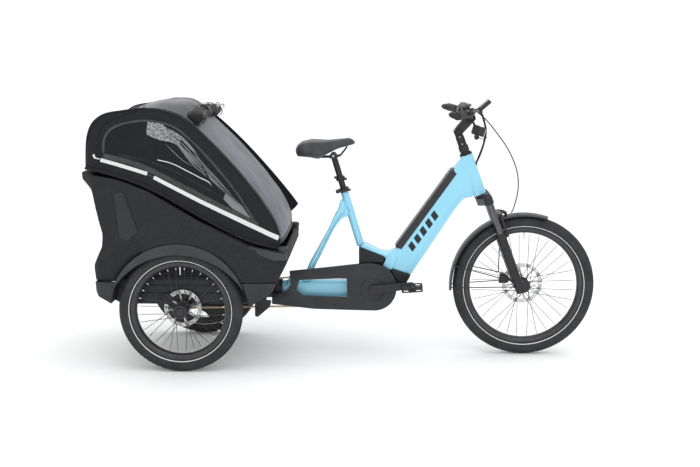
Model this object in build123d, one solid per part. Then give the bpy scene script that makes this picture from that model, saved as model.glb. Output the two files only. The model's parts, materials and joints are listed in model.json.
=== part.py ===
from build123d import *
import math
import os

# Tilting cargo tricycle: one steered front wheel, two rear wheels under a covered box.
# Millimetres.  X forward, Y to the rider's left, Z up.  While modelling, X = 0 is the rear
# axle; every part is moved by -MIDDLE_X when it is written, so that the origin of the
# finished part is on the floor under the middle of its bounding box.

# ---- driving dimensions -------------------------------------------------------------
WHEELBASE = 1472
REAR_TRACK = 640                # between the rear tyres' middle planes
FRONT_TYRE_R = 312              # 24 x 2.35
REAR_TYRE_R = 262               # 20 x 2.35
TYRE_WIDTH = 60
TYRE_WALL = 4
RIM_SEAT_DROP = 54              # from the tread down to the rim's outer edge
RIM_HEIGHT = 22
RIM_WIDTH = 44
SPOKE_COUNT = 32
SPOKE_R = 1.2
HUB_FLANGE_R = 24               # circle of the spoke holes
REAR_AXLE_R, FRONT_AXLE_R = 10, 7.5
REAR_END_X = -403               # tip of the box behind the axle
FRONT_END_X = WHEELBASE + FRONT_TYRE_R
MIDDLE_X = (REAR_END_X + FRONT_END_X) / 2

TILT_AXIS_Z = 290
HEAD_ANGLE = 69.5               # degrees from the floor
STEER_OFFSET = 43               # wheel axle in front of the steering axis
LEG_OFFSET = 21                 # fork legs behind the wheel axle
LEG_Y = 66
STANCHION_R = 16
STEERER_R = 15
HEAD_LOW, HEAD_HIGH = 447, 637  # ends of the head tube, measured up from the front axle
STEM_PIVOT_UP = 741
BAR_UP, BAR_FORWARD = 781, 28
BAR_R, BAR_CLAMP_R = 11.1, 15.9
GRIP_END_Y = 322

BB_X, BB_Z = 807, 303           # bottom bracket
CRANK_LENGTH = 170
CRANK_ANGLE = 7.4
CRANK_Y, CRANK_THICKNESS = 85, 14
PEDAL_AXLE_R = 5
CHAIN_Y = 50                    # chain line, right of the middle plane
CHAINRING_R = 76.8              # 38 teeth of half-inch pitch
SPROCKET_R = 52.6               # 26 teeth
SPINDLE_R = 15

SEAT_TUBE_FOOT = (750, 488)
SEAT_TUBE_TOP = (678, 728)
SEAT_TUBE_R = 17.5
SEAT_POST_R = 13.6
POST_HEAD = (630.3, 887)
SEAT_LUGS = (656, 784)

BOX_HALF_WIDTH = 365
SEAM_Z = 388                    # between the lower and the upper shell of the box
FLOOR_Z = 405
WELL_R = 285
WELL_WALL_Y = 255
TUNNEL_HALF_WIDTH = 112
CANOPY_WALL = 5
HINGE_X, HINGE_Z = -372, 876

RUNNING_FIT = 0.08              # radial clearance of a shaft in its bore
SIDE_GAP = 0.5                  # end clearance between parts that turn or slide

RIGHT, LEFT = -1, 1


# ---- helpers ------------------------------------------------------------------------
def outline(points, radius=0):
    """A closed flat outline, with its corners rounded where a radius is given."""
    if radius:
        return make_face(FilletPolyline(*points, radius=radius, close=True))
    return make_face(Polyline(*points, close=True))


def shrunk(face, inset):
    """A flat face moved inward all round."""
    return offset(face, -inset) if inset else face


def side_plate(points, y_low, y_high, radius=0):
    """An outline seen from the side (X, Z), extruded between two values of Y."""
    face = Plane.XZ.offset(-y_high) * outline(points, radius)
    return extrude(face, amount=y_high - y_low, dir=(0, -1, 0))


def front_plate(points, x_low, x_high, radius=0):
    """A (Y, Z) outline, extruded between two values of X."""
    face = Plane.YZ.offset(x_low) * outline(points, radius)
    return extrude(face, amount=x_high - x_low, dir=(1, 0, 0))


def floor_plate(points, z_low, z_high, radius=0):
    """An outline seen from above (X, Y), extruded between two values of Z."""
    face = Plane.XY.offset(z_low) * outline(points, radius)
    return extrude(face, amount=z_high - z_low, dir=(0, 0, 1))


def block(x, y, z):
    """A box given by its (low, high) values on each axis."""
    size = [high - low for low, high in (x, y, z)]
    middle = [(high + low) / 2 for low, high in (x, y, z)]
    return Pos(*middle) * Box(*size)


def rod(start, end, radius, bore=0):
    """A round bar or tube between two points."""
    start, end = Vector(start), Vector(end)
    plane = Plane(origin=start, z_dir=end - start)
    section = Circle(radius)
    if bore:
        section -= Circle(bore)
    return extrude(plane * section, amount=(end - start).length)


def pipe(points, bends, radius, bore=0):
    """A round tube along straight runs joined by arcs."""
    path = FilletPolyline(*points, radius=bends)
    section = Circle(radius)
    if bore:
        section -= Circle(bore)
    return sweep(Plane(origin=path @ 0, z_dir=path % 0) * section, path=path)


def front_pair(half):
    """A whole (Y, Z) outline from its left half."""
    return half + [(-y, z) for y, z in reversed(half)]


def plan_pair(half):
    """A whole (X, Y) outline from its left half."""
    return half + [(x, -y) for x, y in reversed(half)]


def polar(distance, angle):
    """A point at a distance and an angle (degrees) from the origin."""
    return distance * math.cos(math.radians(angle)), distance * math.sin(math.radians(angle))


def largest(part):
    """The part without the slivers that a cut leaves beside it."""
    return max(part.solids(), key=lambda solid: solid.volume)


def mirrored(part):
    return mirror(part, about=Plane.XZ)


def both_sides(part):
    return part + mirrored(part)


# ---- frames of reference ------------------------------------------------------------
STEER_UP = (-math.cos(math.radians(HEAD_ANGLE)), 0, math.sin(math.radians(HEAD_ANGLE)))
STEER_FORWARD = (STEER_UP[2], 0, -STEER_UP[0])
# Local X forward and local Z up along the steering axis, from the front axle.
FORK = Plane(origin=(WHEELBASE, 0, FRONT_TYRE_R), x_dir=STEER_FORWARD, z_dir=STEER_UP)
AXIS_X = -STEER_OFFSET          # the steering axis, in the fork's own frame
LEG_X = -LEG_OFFSET


# ---- wheels, each made about its own axle -------------------------------------------
def tyre(outer_radius):
    half = TYRE_WIDTH / 2
    middle = outer_radius - half
    seat = outer_radius - RIM_SEAT_DROP
    section = Pos(middle, 0) * Circle(half)
    section -= Pos(middle, 0) * Circle(half - TYRE_WALL)
    section -= Pos(seat - half, 0) * Rectangle(2 * half, 2 * TYRE_WIDTH)
    return revolve(section, Axis.Y)


def rim(outer_radius):
    """A hollow rim: a tapered channel, open under the tyre."""
    seat = outer_radius - RIM_SEAT_DROP
    half = RIM_WIDTH / 2
    wall = 3
    outside = [(seat, -half), (seat, half), (seat - 12, half), (seat - RIM_HEIGHT, half - 10),
               (seat - RIM_HEIGHT, 10 - half), (seat - 12, -half)]
    groove = [(seat + 1, wall - half), (seat + 1, half - wall), (seat - 11, half - wall),
              (seat - RIM_HEIGHT + wall, half - 12), (seat - RIM_HEIGHT + wall, 12 - half),
              (seat - 11, wall - half)]
    return revolve(outline(outside) - outline(groove), Axis.Y)


def spokes(flange_y, rim_radius):
    """Crossed spokes, alternately from the two flanges."""
    result = []
    for number in range(SPOKE_COUNT):
        turn = 360 / SPOKE_COUNT * number
        cross = 38 if number % 4 < 2 else -38
        inner = math.radians(turn + cross)
        outer = math.radians(turn)
        start = (HUB_FLANGE_R * math.cos(inner), flange_y[number % 2], HUB_FLANGE_R * math.sin(inner))
        end = (rim_radius * math.cos(outer), 0, rim_radius * math.sin(outer))
        result.append(rod(start, end, SPOKE_R))
    return result


def hub(flange_y, barrel_radius, ends, bore, tyre_radius):
    """Barrel, two flanges and the spokes, on a plain bore."""
    low, high = ends
    shell = rod((0, low, 0), (0, high, 0), barrel_radius)
    for y in flange_y:
        shell += rod((0, y - 2.5, 0), (0, y + 2.5, 0), HUB_FLANGE_R + 5)
    spoke_end = tyre_radius - RIM_SEAT_DROP - RIM_HEIGHT + 4
    shell = shell + spokes(flange_y, spoke_end)
    return shell - rod((0, low - 1, 0), (0, high + 1, 0), bore)


def rotor(radius, y_low, y_high, bore):
    """A brake disc: a slotted ring on curved-looking slanted arms."""
    disc = Plane.XZ * Circle(radius)
    disc -= Plane.XZ * Circle(radius - 17)
    for number in range(18):
        slot = Rot(0, 0, 20 * number) * Pos(radius - 8.5, 0) * Rot(0, 0, 35) * SlotOverall(12, 3.5)
        disc -= Plane.XZ * slot
    arms = Plane.XZ * Circle(bore + 9)
    for number in range(8):
        arm = Rot(0, 0, 45 * number) * Pos(radius / 2, 6) * Rot(0, 0, 12) * Rectangle(radius - 12, 7)
        arms += Plane.XZ * arm
    arms = arms & (Plane.XZ * Circle(radius - 15))
    face = disc + arms - Plane.XZ * Circle(bore)
    return Pos(0, y_high, 0) * extrude(face, amount=y_high - y_low, dir=(0, -1, 0))


# ---- the box ------------------------------------------------------------------------
BOX_SIDE = [(REAR_END_X, 846), (-398, 812), (-352, 774), (-308, 591), (-312, 536), (-354, 452),
            (-346, 332), (-268, 276), (285, 276), (386, 345), (452, 474), (441, 514), (300, 540),
            (82, 648), (-131, 772), (-250, 818)]
BOX_SIDE_RADII = [2, 8, 24, 60, 40, 40, 50, 30, 40, 60, 18, 6, 60, 200, 200, 80]
BOX_FRONT_HALF = [(326, 870), (352, 640), (BOX_HALF_WIDTH, 552), (358, 380), (325, 262)]
BOX_PLAN_HALF = [(-420, 262), (-330, 345), (-262, BOX_HALF_WIDTH), (272, BOX_HALF_WIDTH), (468, 344)]
RIM_BAND = [(-420, 858), (-391, 834), (-250, 803), (-131, 757), (82, 633), (300, 525), (421, 500),
            (470, 505), (470, 620), (-420, 900)]


def tapered_body():
    """The box's outer form: side, front and plan outlines intersected."""
    side = side_plate(BOX_SIDE, -400, 400, BOX_SIDE_RADII)
    front = front_plate(front_pair(BOX_FRONT_HALF), -500, 500, 12)
    plan = floor_plate(plan_pair(BOX_PLAN_HALF), 200, 900, 34)
    return side & front & plan


def cabin_void():
    """The inside of the box, open at the top."""
    low = [(-326, FLOOR_Z), (400, FLOOR_Z), (429, 470), (429, 900), (-375, 900), (-326, 770),
           (-285, 592), (-288, 540), (-328, 450)]
    deep = side_plate(low, 20 - WELL_WALL_Y, WELL_WALL_Y - 20, 12)
    high = [(-360, 900), (-322, 762), (-290, 600), (-284, 576), (300, 576), (300, 520), (418, 500),
            (429, 900)]
    wide = side_plate(high, -312, 312, 10)
    step = block((WELL_R + 18, 424), (-300, 300), (430, 620))
    return deep + wide + step


def wheel_wells():
    """Round spaces for the rear wheels, open to the outside and below."""
    right = rod((0, -500, REAR_TYRE_R), (0, -WELL_WALL_Y - 3, REAR_TYRE_R), WELL_R)
    right += block((-WELL_R, WELL_R), (-500, -WELL_WALL_Y - 3), (200, REAR_TYRE_R))
    return both_sides(right)


def arch_trims():
    """Crescent lips over the rear wheels, thick at the top and thin at both ends."""
    outer = Pos(-6, REAR_TYRE_R) * Circle(WELL_R + 6)
    inner = Pos(-6, 179) * Circle(326)
    crescent = outer - inner
    crescent -= Pos(-6, 150) * Rectangle(700, 400)
    face = Plane.XZ.offset(BOX_HALF_WIDTH + 1) * crescent
    lip = extrude(face, amount=15, dir=(0, 1, 0))
    liner = Pos(0, REAR_TYRE_R) * Circle(WELL_R + 6)
    liner -= Pos(0, REAR_TYRE_R) * Circle(WELL_R - 3)
    liner -= Pos(0, 150) * Rectangle(700, 460)
    band = extrude(Plane.XZ.offset(BOX_HALF_WIDTH - 14) * liner, amount=80, dir=(0, 1, 0))
    return both_sides(lip + band)


def tunnel():
    """Room under the floor for the drive and the tilting frame."""
    sides = block((-90, 480), (-TUNNEL_HALF_WIDTH, TUNNEL_HALF_WIDTH), (200, SEAM_Z - 2))
    front = side_plate([(230, 260), (480, 260), (480, 440), (400, 440), (360, SEAM_Z - 2), (230, 380)],
                       -TUNNEL_HALF_WIDTH, TUNNEL_HALF_WIDTH)
    beam = rod((0, -420, REAR_TYRE_R), (0, 420, REAR_TYRE_R), 34)
    return sides + front + beam


def socket_bosses():
    boss = rod((430, -314, 470), (430, -314, 517), 18)
    return both_sides(boss)


def socket_bores():
    return both_sides(rod((430, -314, 485), (430, -314, 530), 10))


def make_box(body, lips):
    """Upper shell, lower shell and rim of the box."""
    void = cabin_void()
    shell = body - wheel_wells() - lips - void
    band = side_plate(RIM_BAND, -400, 400)
    upper_zone = block((-500, 500), (-400, 400), (SEAM_Z, 900))
    front_notch = side_plate([(380, 380), (480, 380), (480, 452), (425, 432)],
                             -TUNNEL_HALF_WIDTH, TUNNEL_HALF_WIDTH)
    upper = largest((shell & upper_zone) - band - socket_bosses() - front_notch)
    rim_part = (shell & band & upper_zone) + socket_bosses() + hinge_lugs() - socket_bores()
    pan = body & block((-500, 500), (-400, 400), (200, SEAM_Z))
    hollow = side_plate([(-334, 300), (-262, 288), (278, 288), (372, 352), (392, 395), (-340, 395)],
                        -330, 330, 10)
    lower = pan - wheel_wells() - lips - (hollow - thick_wells()) - tunnel()
    return upper, lower, rim_part


def thick_wells():
    """The wells grown by the thickness of their walls."""
    right = rod((0, -500, REAR_TYRE_R), (0, 15 - WELL_WALL_Y, REAR_TYRE_R), WELL_R + 14)
    right += block((-90 - 14, 480), (-TUNNEL_HALF_WIDTH - 12, 0), (200, 400))
    return both_sides(right)


def hinge_lugs():
    """Two lugs on the box's rear edge that carry the canopy's rear rail."""
    lug = side_plate([(HINGE_X - 13, 836), (HINGE_X + 13, 836), (HINGE_X + 11, HINGE_Z + 8),
                      (HINGE_X - 11, HINGE_Z + 8)], -206, -192, 5)
    lug -= rod((HINGE_X, -230, HINGE_Z), (HINGE_X, -180, HINGE_Z), 7 + RUNNING_FIT)
    return both_sides(lug)


def make_canopy_form(inset=0):
    """The canopy's outer form: side, front and plan outlines intersected."""
    side = [(-392, 892), (-382, 940), (-352, 1062), (-300, 1092), (-190, 1110), (-110, 1136), (-10, 1142),
            (80, 1116), (442, 592), (414, 530), (304, 556), (88, 664), (-124, 788), (-246, 834),
            (-352, 862)]
    radii = [3, 40, 28, 50, 80, 60, 80, 34, 20, 4, 60, 200, 200, 60, 8]
    half_front = [(212, 1160), (285, 1062), (312, 900), (318, 500)]
    half_plan = [(-400, 262), (-330, 319), (300, 319), (460, 300)]
    side_face = shrunk(outline(side, radii), inset)
    front_face = shrunk(outline(front_pair(half_front), 60), inset)
    plan_face = shrunk(outline(plan_pair(half_plan), 40), inset)
    across = extrude(Plane.XZ.offset(-400) * side_face, amount=800, dir=(0, -1, 0))
    along = extrude(Plane.YZ.offset(-500) * front_face, amount=1000, dir=(1, 0, 0))
    upward = extrude(Plane.XY.offset(450) * plan_face, amount=750, dir=(0, 0, 1))
    return across & along & upward


def make_canopy():
    inside = make_canopy_form(CANOPY_WALL)
    cover = make_canopy_form() - inside - Pos(0, 0, -9) * inside
    cover -= rod((HINGE_X, -220, HINGE_Z), (HINGE_X, 220, HINGE_Z), 30)
    rail = rod((HINGE_X, -240, HINGE_Z), (HINGE_X, 240, HINGE_Z), 7)
    side_rail = pipe([(HINGE_X, -232, HINGE_Z), (-330, -290, 858), (-118, -299, 800), (92, -299, 676),
                      (300, -299, 570), (396, -290, 545)], [30, 60, 120, 40], 7)
    rear_hoop = pipe([(-312, -287, 872), (-318, -264, 1040), (-280, -205, 1078), (-280, 205, 1078),
                      (-318, 264, 1040), (-312, 287, 872)], [30, 30, 30, 30], 6)
    front_hoop = pipe([(60, -287, 712), (40, -258, 1040), (30, -190, 1112), (30, 190, 1112),
                       (40, 258, 1040), (60, 287, 712)], [40, 40, 40, 40], 6)
    frame = rail + both_sides(side_rail) + rear_hoop + front_hoop
    frame += both_sides(rod((HINGE_X, -240, HINGE_Z), (HINGE_X, -222, HINGE_Z), 10))
    return cover, frame


def child_seat():
    """Bench with a leaning back, between the wheel wells."""
    bench = [(-20, 430), (150, 440), (150, 478), (-20, 466), (-196, 800), (-236, 790), (-60, 440)]
    shell = side_plate(bench, -222, 222, 12)
    base = side_plate([(-10, FLOOR_Z), (130, FLOOR_Z), (130, 438), (-10, 428)], -200, 200)
    return shell + base


def harnesses():
    """Two five-point harnesses lying on the bench and its back."""
    result = []
    along = (-0.466, 0.885)
    for middle in (-108, 108):
        for side in (-1, 1):
            y = middle + 38 * side
            start = (-16, 478)
            back = [start, (start[0] + 300 * along[0], start[1] + 300 * along[1])]
            back += [(back[1][0] + 3, back[1][1] + 1.6), (start[0] + 3, start[1] + 1.6)]
            result.append(side_plate(back, y - 12, y + 12))
            result.append(side_plate([(-10, 467.5), (100, 475.4), (100, 478.6), (-10, 470.7)],
                                     middle + 52 * side - 12, middle + 52 * side + 12))
        buckle = [(-4, 472), (28, 474), (28, 492), (-4, 490)]
        result.append(side_plate(buckle, middle - 20, middle + 20, 3))
    return Compound(result)


def tail_lights():
    lamp = side_plate([(-330, 640), (-316, 592), (-300, 592), (-312, 640)], -262, -206)
    return both_sides(lamp)


# ---- the rear chassis ---------------------------------------------------------------
def chassis():
    """Axle beam with stub axles, and the tubes that carry the box and the tilt housing."""
    axle_z = REAR_TYRE_R
    frame = rod((0, -WELL_WALL_Y, axle_z), (0, WELL_WALL_Y, axle_z), 22)
    frame += both_sides(rod((0, -345, axle_z), (0, -WELL_WALL_Y, axle_z), REAR_AXLE_R))
    frame += both_sides(rod((0, -88, axle_z), (284, -88, axle_z), 14))
    frame += both_sides(rod((0, -150, axle_z), (-235, -150, axle_z), 12))
    frame += rod((-225, -210, axle_z), (-225, 210, axle_z), 13)
    frame += rod((222, -210, axle_z), (222, 210, axle_z), 13)
    for x in (-225, 222):
        for y in (-180, 180):
            frame += rod((x, y, axle_z), (x, y, 276), 12)
    frame += both_sides(side_plate([(-20, 250), (24, 250), (24, 276), (-40, 326), (-72, 320), (-70, 290)],
                                   -266, -259, 4))
    return frame


def tilt_housing():
    """The bearing sleeve that the front frame's tilt shaft turns in."""
    sleeve = rod((262, 0, TILT_AXIS_Z), (402, 0, TILT_AXIS_Z), 42)
    web = block((284, 336), (-102, 102), (252, 322))
    fins = rod((286, 0, TILT_AXIS_Z), (298, 0, TILT_AXIS_Z), 47)
    fins += rod((372, 0, TILT_AXIS_Z), (384, 0, TILT_AXIS_Z), 46)
    wedge = side_plate([(286, 262), (361, 256), (352, 226), (298, 180), (286, 184)], -100, -90, 5)
    shape = fillet(web.edges().filter_by(Axis.X), 8) + sleeve + fins + wedge
    shape -= rod((250, 0, TILT_AXIS_Z), (410, 0, TILT_AXIS_Z), 20 + RUNNING_FIT)
    return shape


def drive_case():
    """Differential housing round the axle beam, with the parking-lock barrel before it."""
    case = rod((0, -36, REAR_TYRE_R), (0, 62, REAR_TYRE_R), 62)
    case += rod((104, -34, 195), (104, 60, 195), 44)
    case += side_plate([(20, 204), (104, 151), (104, 239), (50, 300)], -30, 56)
    for y in (-20, 0, 20, 40):
        case += rod((104, y - 2, 195), (104, y + 2, 195), 48)
    case -= rod((0, -60, REAR_TYRE_R), (0, 80, REAR_TYRE_R), 22)
    return case


def rear_calliper():
    """A two-piston calliper over the right rear rotor, behind the axle."""
    corners = [polar(96, 166), polar(98, 134), polar(56, 136), polar(56, 164)]
    body = Pos(0, 0, REAR_TYRE_R) * side_plate(corners, -290, -266, 5)
    return body - rod((0, -280.5, REAR_TYRE_R), (0, -274, REAR_TYRE_R), 82)


# ---- the tilting front frame --------------------------------------------------------
TUBE_START = (907, 483)
TUBE_ALONG = (0.579, 0.8153)
TUBE_NORMAL = (-0.8153, 0.579)
BATTERY_LENGTH = 428
BATTERY_DEPTH = 62
BATTERY_HALF_WIDTH = 35
BATTERY_GAP = 1                 # to the walls of its pocket
BATTERY_RISE = 8                # of the cover above the tube


def on_tube(along, out):
    """A point in the side view, measured along and out from the down tube's upper edge."""
    return (TUBE_START[0] + along * TUBE_ALONG[0] + out * TUBE_NORMAL[0],
            TUBE_START[1] + along * TUBE_ALONG[1] + out * TUBE_NORMAL[1])


def battery_block(gap, rise, radius):
    """The battery's form, grown by a gap and standing out of the tube by a rise."""
    end = BATTERY_LENGTH + gap
    depth = -BATTERY_DEPTH - gap
    corners = [on_tube(-gap, depth), on_tube(end, depth), on_tube(end, rise), on_tube(-gap, rise)]
    half = BATTERY_HALF_WIDTH + gap
    return side_plate(corners, -half, half, radius)


def bore_from(low, high, radius):
    return FORK * rod((AXIS_X, 0, low), (AXIS_X, 0, high), radius)


def down_tube():
    """Deep formed tube from the motor bridge to the head tube, with the battery's pocket."""
    points = [(973, 363), (1157, 648), (1200, 704), (1244, 712), (1228, 800), (1200, 872),
              (1180, 866), (905, 474), (876, 460), (840, 464), (796, 486), (766, 500), (744, 487),
              (856, 443), (878, 394)]
    radii = [8, 90, 30, 10, 40, 10, 10, 20, 30, 30, 20, 4, 4, 4, 10]
    tube = side_plate(points, -45, 45, radii)
    head = bore_from(HEAD_LOW, HEAD_HIGH, 28)
    tube = tube + head
    tube -= battery_block(BATTERY_GAP, 60, 0)
    tube -= bore_from(HEAD_LOW - 5, HEAD_HIGH + 5, STEERER_R + RUNNING_FIT)
    return tube


def seat_tube():
    foot, top = SEAT_TUBE_FOOT, SEAT_TUBE_TOP
    tube = rod((foot[0], 0, foot[1]), (top[0], 0, top[1]), SEAT_TUBE_R)
    along = Vector(top[0] - foot[0], 0, top[1] - foot[1]).normalized()
    start = Vector(foot[0], 0, foot[1]) + along * 12
    tube -= rod(start, (top[0] + along.X * 5, 0, top[1] + along.Z * 5), SEAT_POST_R + RUNNING_FIT)
    return tube


def seat_stays():
    """A wishbone from the seat tube down to the big rear tube."""
    stay = side_plate([(664, 702), (700, 640), (562, 331), (508, 331)], -38, 38, [10, 10, 1, 1])
    gap = side_plate([(640, 600), (720, 640), (600, 331), (560, 300), (480, 300)], -19, 19)
    foot, top = SEAT_TUBE_FOOT, SEAT_TUBE_TOP
    return stay - gap - rod((foot[0], 0, foot[1]), (top[0], 0, top[1]), SEAT_TUBE_R)


def rear_tube():
    """Big box-section tube, its motor bracket and the tilt shaft."""
    section = Plane.YZ.offset(425) * RectangleRounded(64, 78, 18)
    tube = Pos(0, 0, 292) * extrude(section, amount=282, dir=(1, 0, 0))
    tube += side_plate([(690, 256), (722, 240), (722, 402), (700, 402), (690, 331)], -32, 32, 4)
    shaft = rod((252, 0, TILT_AXIS_Z), (426, 0, TILT_AXIS_Z), 20)
    shaft += rod((402 + SIDE_GAP, 0, TILT_AXIS_Z), (425, 0, TILT_AXIS_Z), 36)
    shaft += rod((248, 0, TILT_AXIS_Z), (262 - SIDE_GAP, 0, TILT_AXIS_Z), 27)
    return tube + shaft


def motor():
    """Mid motor with its two side covers."""
    points = [(722, 300), (722, 452), (744, 486), (856, 442), (878, 394), (973, 362), (952, 322),
              (922, 250), (862, 218), (764, 216)]
    body = side_plate(points, -43, 58, [20, 8, 1, 1, 1, 1, 20, 30, 40, 30])
    covers = side_plate([(742, 486), (856, 442), (850, 420), (744, 416)], -58, -43, 4)
    covers += side_plate([(880, 393), (972, 362), (956, 338), (908, 340)], -58, -43, 4)
    return body + covers - rod((BB_X, -100, BB_Z), (BB_X, 100, BB_Z), SPINDLE_R + RUNNING_FIT)


CASE_SIDE = [(432, 384), (744, 416), (846, 413), (908, 346), (908, 282), (816, 204), (652, 213),
             (545, 213), (359, 234), (360, 276)]
CASE_RADII = [10, 30, 40, 30, 40, 60, 60, 200, 8, 10]
CASE_WINDOW = [(449, 330), (698, 352), (698, 268), (467, 268)]


def chain_case():
    """Open-backed cover over the chain, with a long window and a hole for the crank."""
    shape = side_plate(CASE_SIDE, -73, -60, CASE_RADII)
    inside = Plane.XZ.offset(70) * offset(outline(CASE_SIDE, CASE_RADII), -3)
    shape -= extrude(inside, amount=12, dir=(0, 1, 0))
    shape += side_plate([(440, 322), (706, 360), (706, 260), (458, 258)], -73, -62, 6)
    shape -= side_plate(CASE_WINDOW, -80, -50, 5)
    shape -= rod((BB_X, -90, BB_Z), (BB_X, -50, BB_Z), 47)
    shape += rod((442, -62, 292), (442, -32, 292), 5)
    shape += rod((752, -62, 400), (752, -43, 400), 5)
    shape += rod((884, -62, 362), (884, -43, 362), 5)
    return shape


def chain_loop(grow):
    """The outline round both sprockets, grown or shrunk from the pitch line."""
    ring = Pos(BB_X, BB_Z) * Circle(CHAINRING_R + grow)
    sprocket = Pos(0, REAR_TYRE_R) * Circle(SPROCKET_R + grow)
    return make_hull((ring + sprocket).edges())


def chain():
    face = Plane.XZ.offset(CHAIN_Y - 3.5) * (chain_loop(4) - chain_loop(-3.6))
    return extrude(face, amount=7, dir=(0, -1, 0))


def seat_clamp():
    """Split collar at the top of the seat tube, with the lever's fork."""
    low = Vector(SEAT_TUBE_TOP[0], 0, SEAT_TUBE_TOP[1])
    along = seat_axis()
    start = low + along * SIDE_GAP
    end = low + along * 17
    collar = rod(start, end, 23, SEAT_POST_R + 1)
    middle = low + along * 9
    ear = Plane(origin=middle, x_dir=(0, 1, 0), z_dir=along)
    ears = extrude(ear * (Pos(0, 28) * Rectangle(22, 14)), amount=7, both=True)
    front = middle + ear.y_dir * 28
    ears -= rod((front.X, -30, front.Z), (front.X, 30, front.Z), 3 + RUNNING_FIT)
    gap = extrude(ear * (Pos(0, 30) * Rectangle(3, 34)), amount=9, both=True)
    return collar + (ears - rod(start, end, 20)) - gap


def seat_axis():
    foot, top = SEAT_TUBE_FOOT, SEAT_TUBE_TOP
    return Vector(top[0] - foot[0], 0, top[1] - foot[1]).normalized()


def clamp_pin():
    """Centre of the seat clamp's cross pin."""
    along = seat_axis()
    middle = Vector(SEAT_TUBE_TOP[0], 0, SEAT_TUBE_TOP[1]) + along * 9
    plane = Plane(origin=middle, x_dir=(0, 1, 0), z_dir=along)
    return middle + plane.y_dir * 28


def seat_clamp_lever():
    """Cross pin, cam and blade."""
    pin = clamp_pin()
    lever = rod((pin.X, -20, pin.Z), (pin.X, 15, pin.Z), 3)
    lever += rod((pin.X, -22, pin.Z), (pin.X, -11 - SIDE_GAP, pin.Z), 8)
    lever += rod((pin.X, 11 + SIDE_GAP, pin.Z), (pin.X, 17, pin.Z), 6)
    lever += rod((pin.X, -30, pin.Z), (pin.X, -18, pin.Z), 6)
    blade = side_plate([(pin.X - 6, pin.Z - 5), (pin.X + 58, pin.Z + 6), (pin.X + 58, pin.Z + 16),
                        (pin.X - 6, pin.Z + 6)], -30, -26, 3)
    return lever + blade


# ---- seat ---------------------------------------------------------------------------
def seat_post():
    along = seat_axis()
    head = Vector(POST_HEAD[0], 0, POST_HEAD[1])
    low = Vector(SEAT_TUBE_TOP[0], 0, SEAT_TUBE_TOP[1]) - along * 150
    post = rod(low, (head - along * 8), SEAT_POST_R)
    post += rod((head.X, -18, head.Z), (head.X, 18, head.Z), 12)
    ring = Vector(SEAT_LUGS[0], 0, SEAT_LUGS[1])
    ring = low + along * ((ring - low).dot(along))
    post += rod((ring - along * 8), (ring + along * 8), 20)
    post += block((ring.X - 28, ring.X - 8), (-7, 7), (ring.Z - 1, ring.Z + 9))
    post += block((ring.X + 8, ring.X + 28), (-7, 7), (ring.Z - 7, ring.Z + 3))
    return post - rod((head.X, -30, head.Z), (head.X, 30, head.Z), 4 + RUNNING_FIT)


def saddle():
    """Padded saddle on two rails, with the clamp's cheeks and bolt."""
    side = [(466, 922), (484, 950), (532, 962), (606, 957), (700, 966), (723, 945), (712, 934), (655, 922),
            (600, 906), (566, 896), (520, 890), (470, 888)]
    plan_half = [(462, 52), (500, 84), (545, 84), (620, 44), (700, 22), (726, 12)]
    pad = side_plate(side, -120, 120, [14, 20, 40, 60, 16, 6, 8, 30, 20, 20, 20, 10])
    pad &= floor_plate(plan_pair(plan_half), 860, 1000, 12)
    rails = pipe([(505, -24, 896), (541, -24, 882), (652, -24, 884), (676, -24, 922)],
                 [14, 12], 3.5)
    head = POST_HEAD
    cheek = rod((head[0], -26, head[1]), (head[0], -18 - SIDE_GAP, head[1]), 14)
    bolt = rod((head[0], -29, head[1]), (head[0], 29, head[1]), 4)
    frame = both_sides(rails) + both_sides(cheek) + bolt
    return Compound([pad.solid(), *(frame - pad).solids()])


# ---- drive --------------------------------------------------------------------------
def crank_end(side):
    """The pedal's axis in the side view: right crank forward, left crank back."""
    reach = -CRANK_LENGTH * side
    angle = math.radians(CRANK_ANGLE)
    return BB_X + reach * math.cos(angle), BB_Z + reach * math.sin(angle)


def crankset():
    outside = CRANK_Y + CRANK_THICKNESS / 2
    shape = rod((BB_X, -outside, BB_Z), (BB_X, outside, BB_Z), SPINDLE_R)
    for side in (RIGHT, LEFT):
        x, z = crank_end(side)
        arm = make_hull((Pos(BB_X, BB_Z) * Circle(21) + Pos(x, z) * Circle(14)).edges())
        face = Plane.XZ.offset(CRANK_THICKNESS / 2 - CRANK_Y * side) * arm
        shape += extrude(face, amount=CRANK_THICKNESS, dir=(0, 1, 0))
        shape += rod((x, 80 * side, z), (x, 196 * side, z), PEDAL_AXLE_R)
    return shape


def chainring():
    ring = Pos(BB_X, BB_Z) * Circle(CHAINRING_R - 4)
    ring -= Pos(BB_X, BB_Z) * Circle(SPINDLE_R)
    for number in range(5):
        ring -= Pos(BB_X, BB_Z) * (Rot(0, 0, 72 * number) * Pos(54, 0) * Circle(9))
    plate = extrude(Plane.XZ.offset(CHAIN_Y - 2) * ring, amount=4, dir=(0, -1, 0))
    cap = rod((BB_X, -68, BB_Z), (BB_X, -CHAIN_Y - 2, BB_Z), 44, SPINDLE_R)
    return plate + cap


def rear_sprocket():
    disc = Pos(0, REAR_TYRE_R) * Circle(SPROCKET_R - 4)
    for number in range(6):
        disc -= Pos(0, REAR_TYRE_R) * (Rot(0, 0, 60 * number) * Pos(36, 0) * Circle(7))
    plate = extrude(Plane.XZ.offset(CHAIN_Y - 2) * disc, amount=4, dir=(0, -1, 0))
    plate += rod((0, -64, REAR_TYRE_R), (0, -40, REAR_TYRE_R), 27)
    return plate - rod((0, -80, REAR_TYRE_R), (0, -20, REAR_TYRE_R), 22 + RUNNING_FIT)


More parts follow.
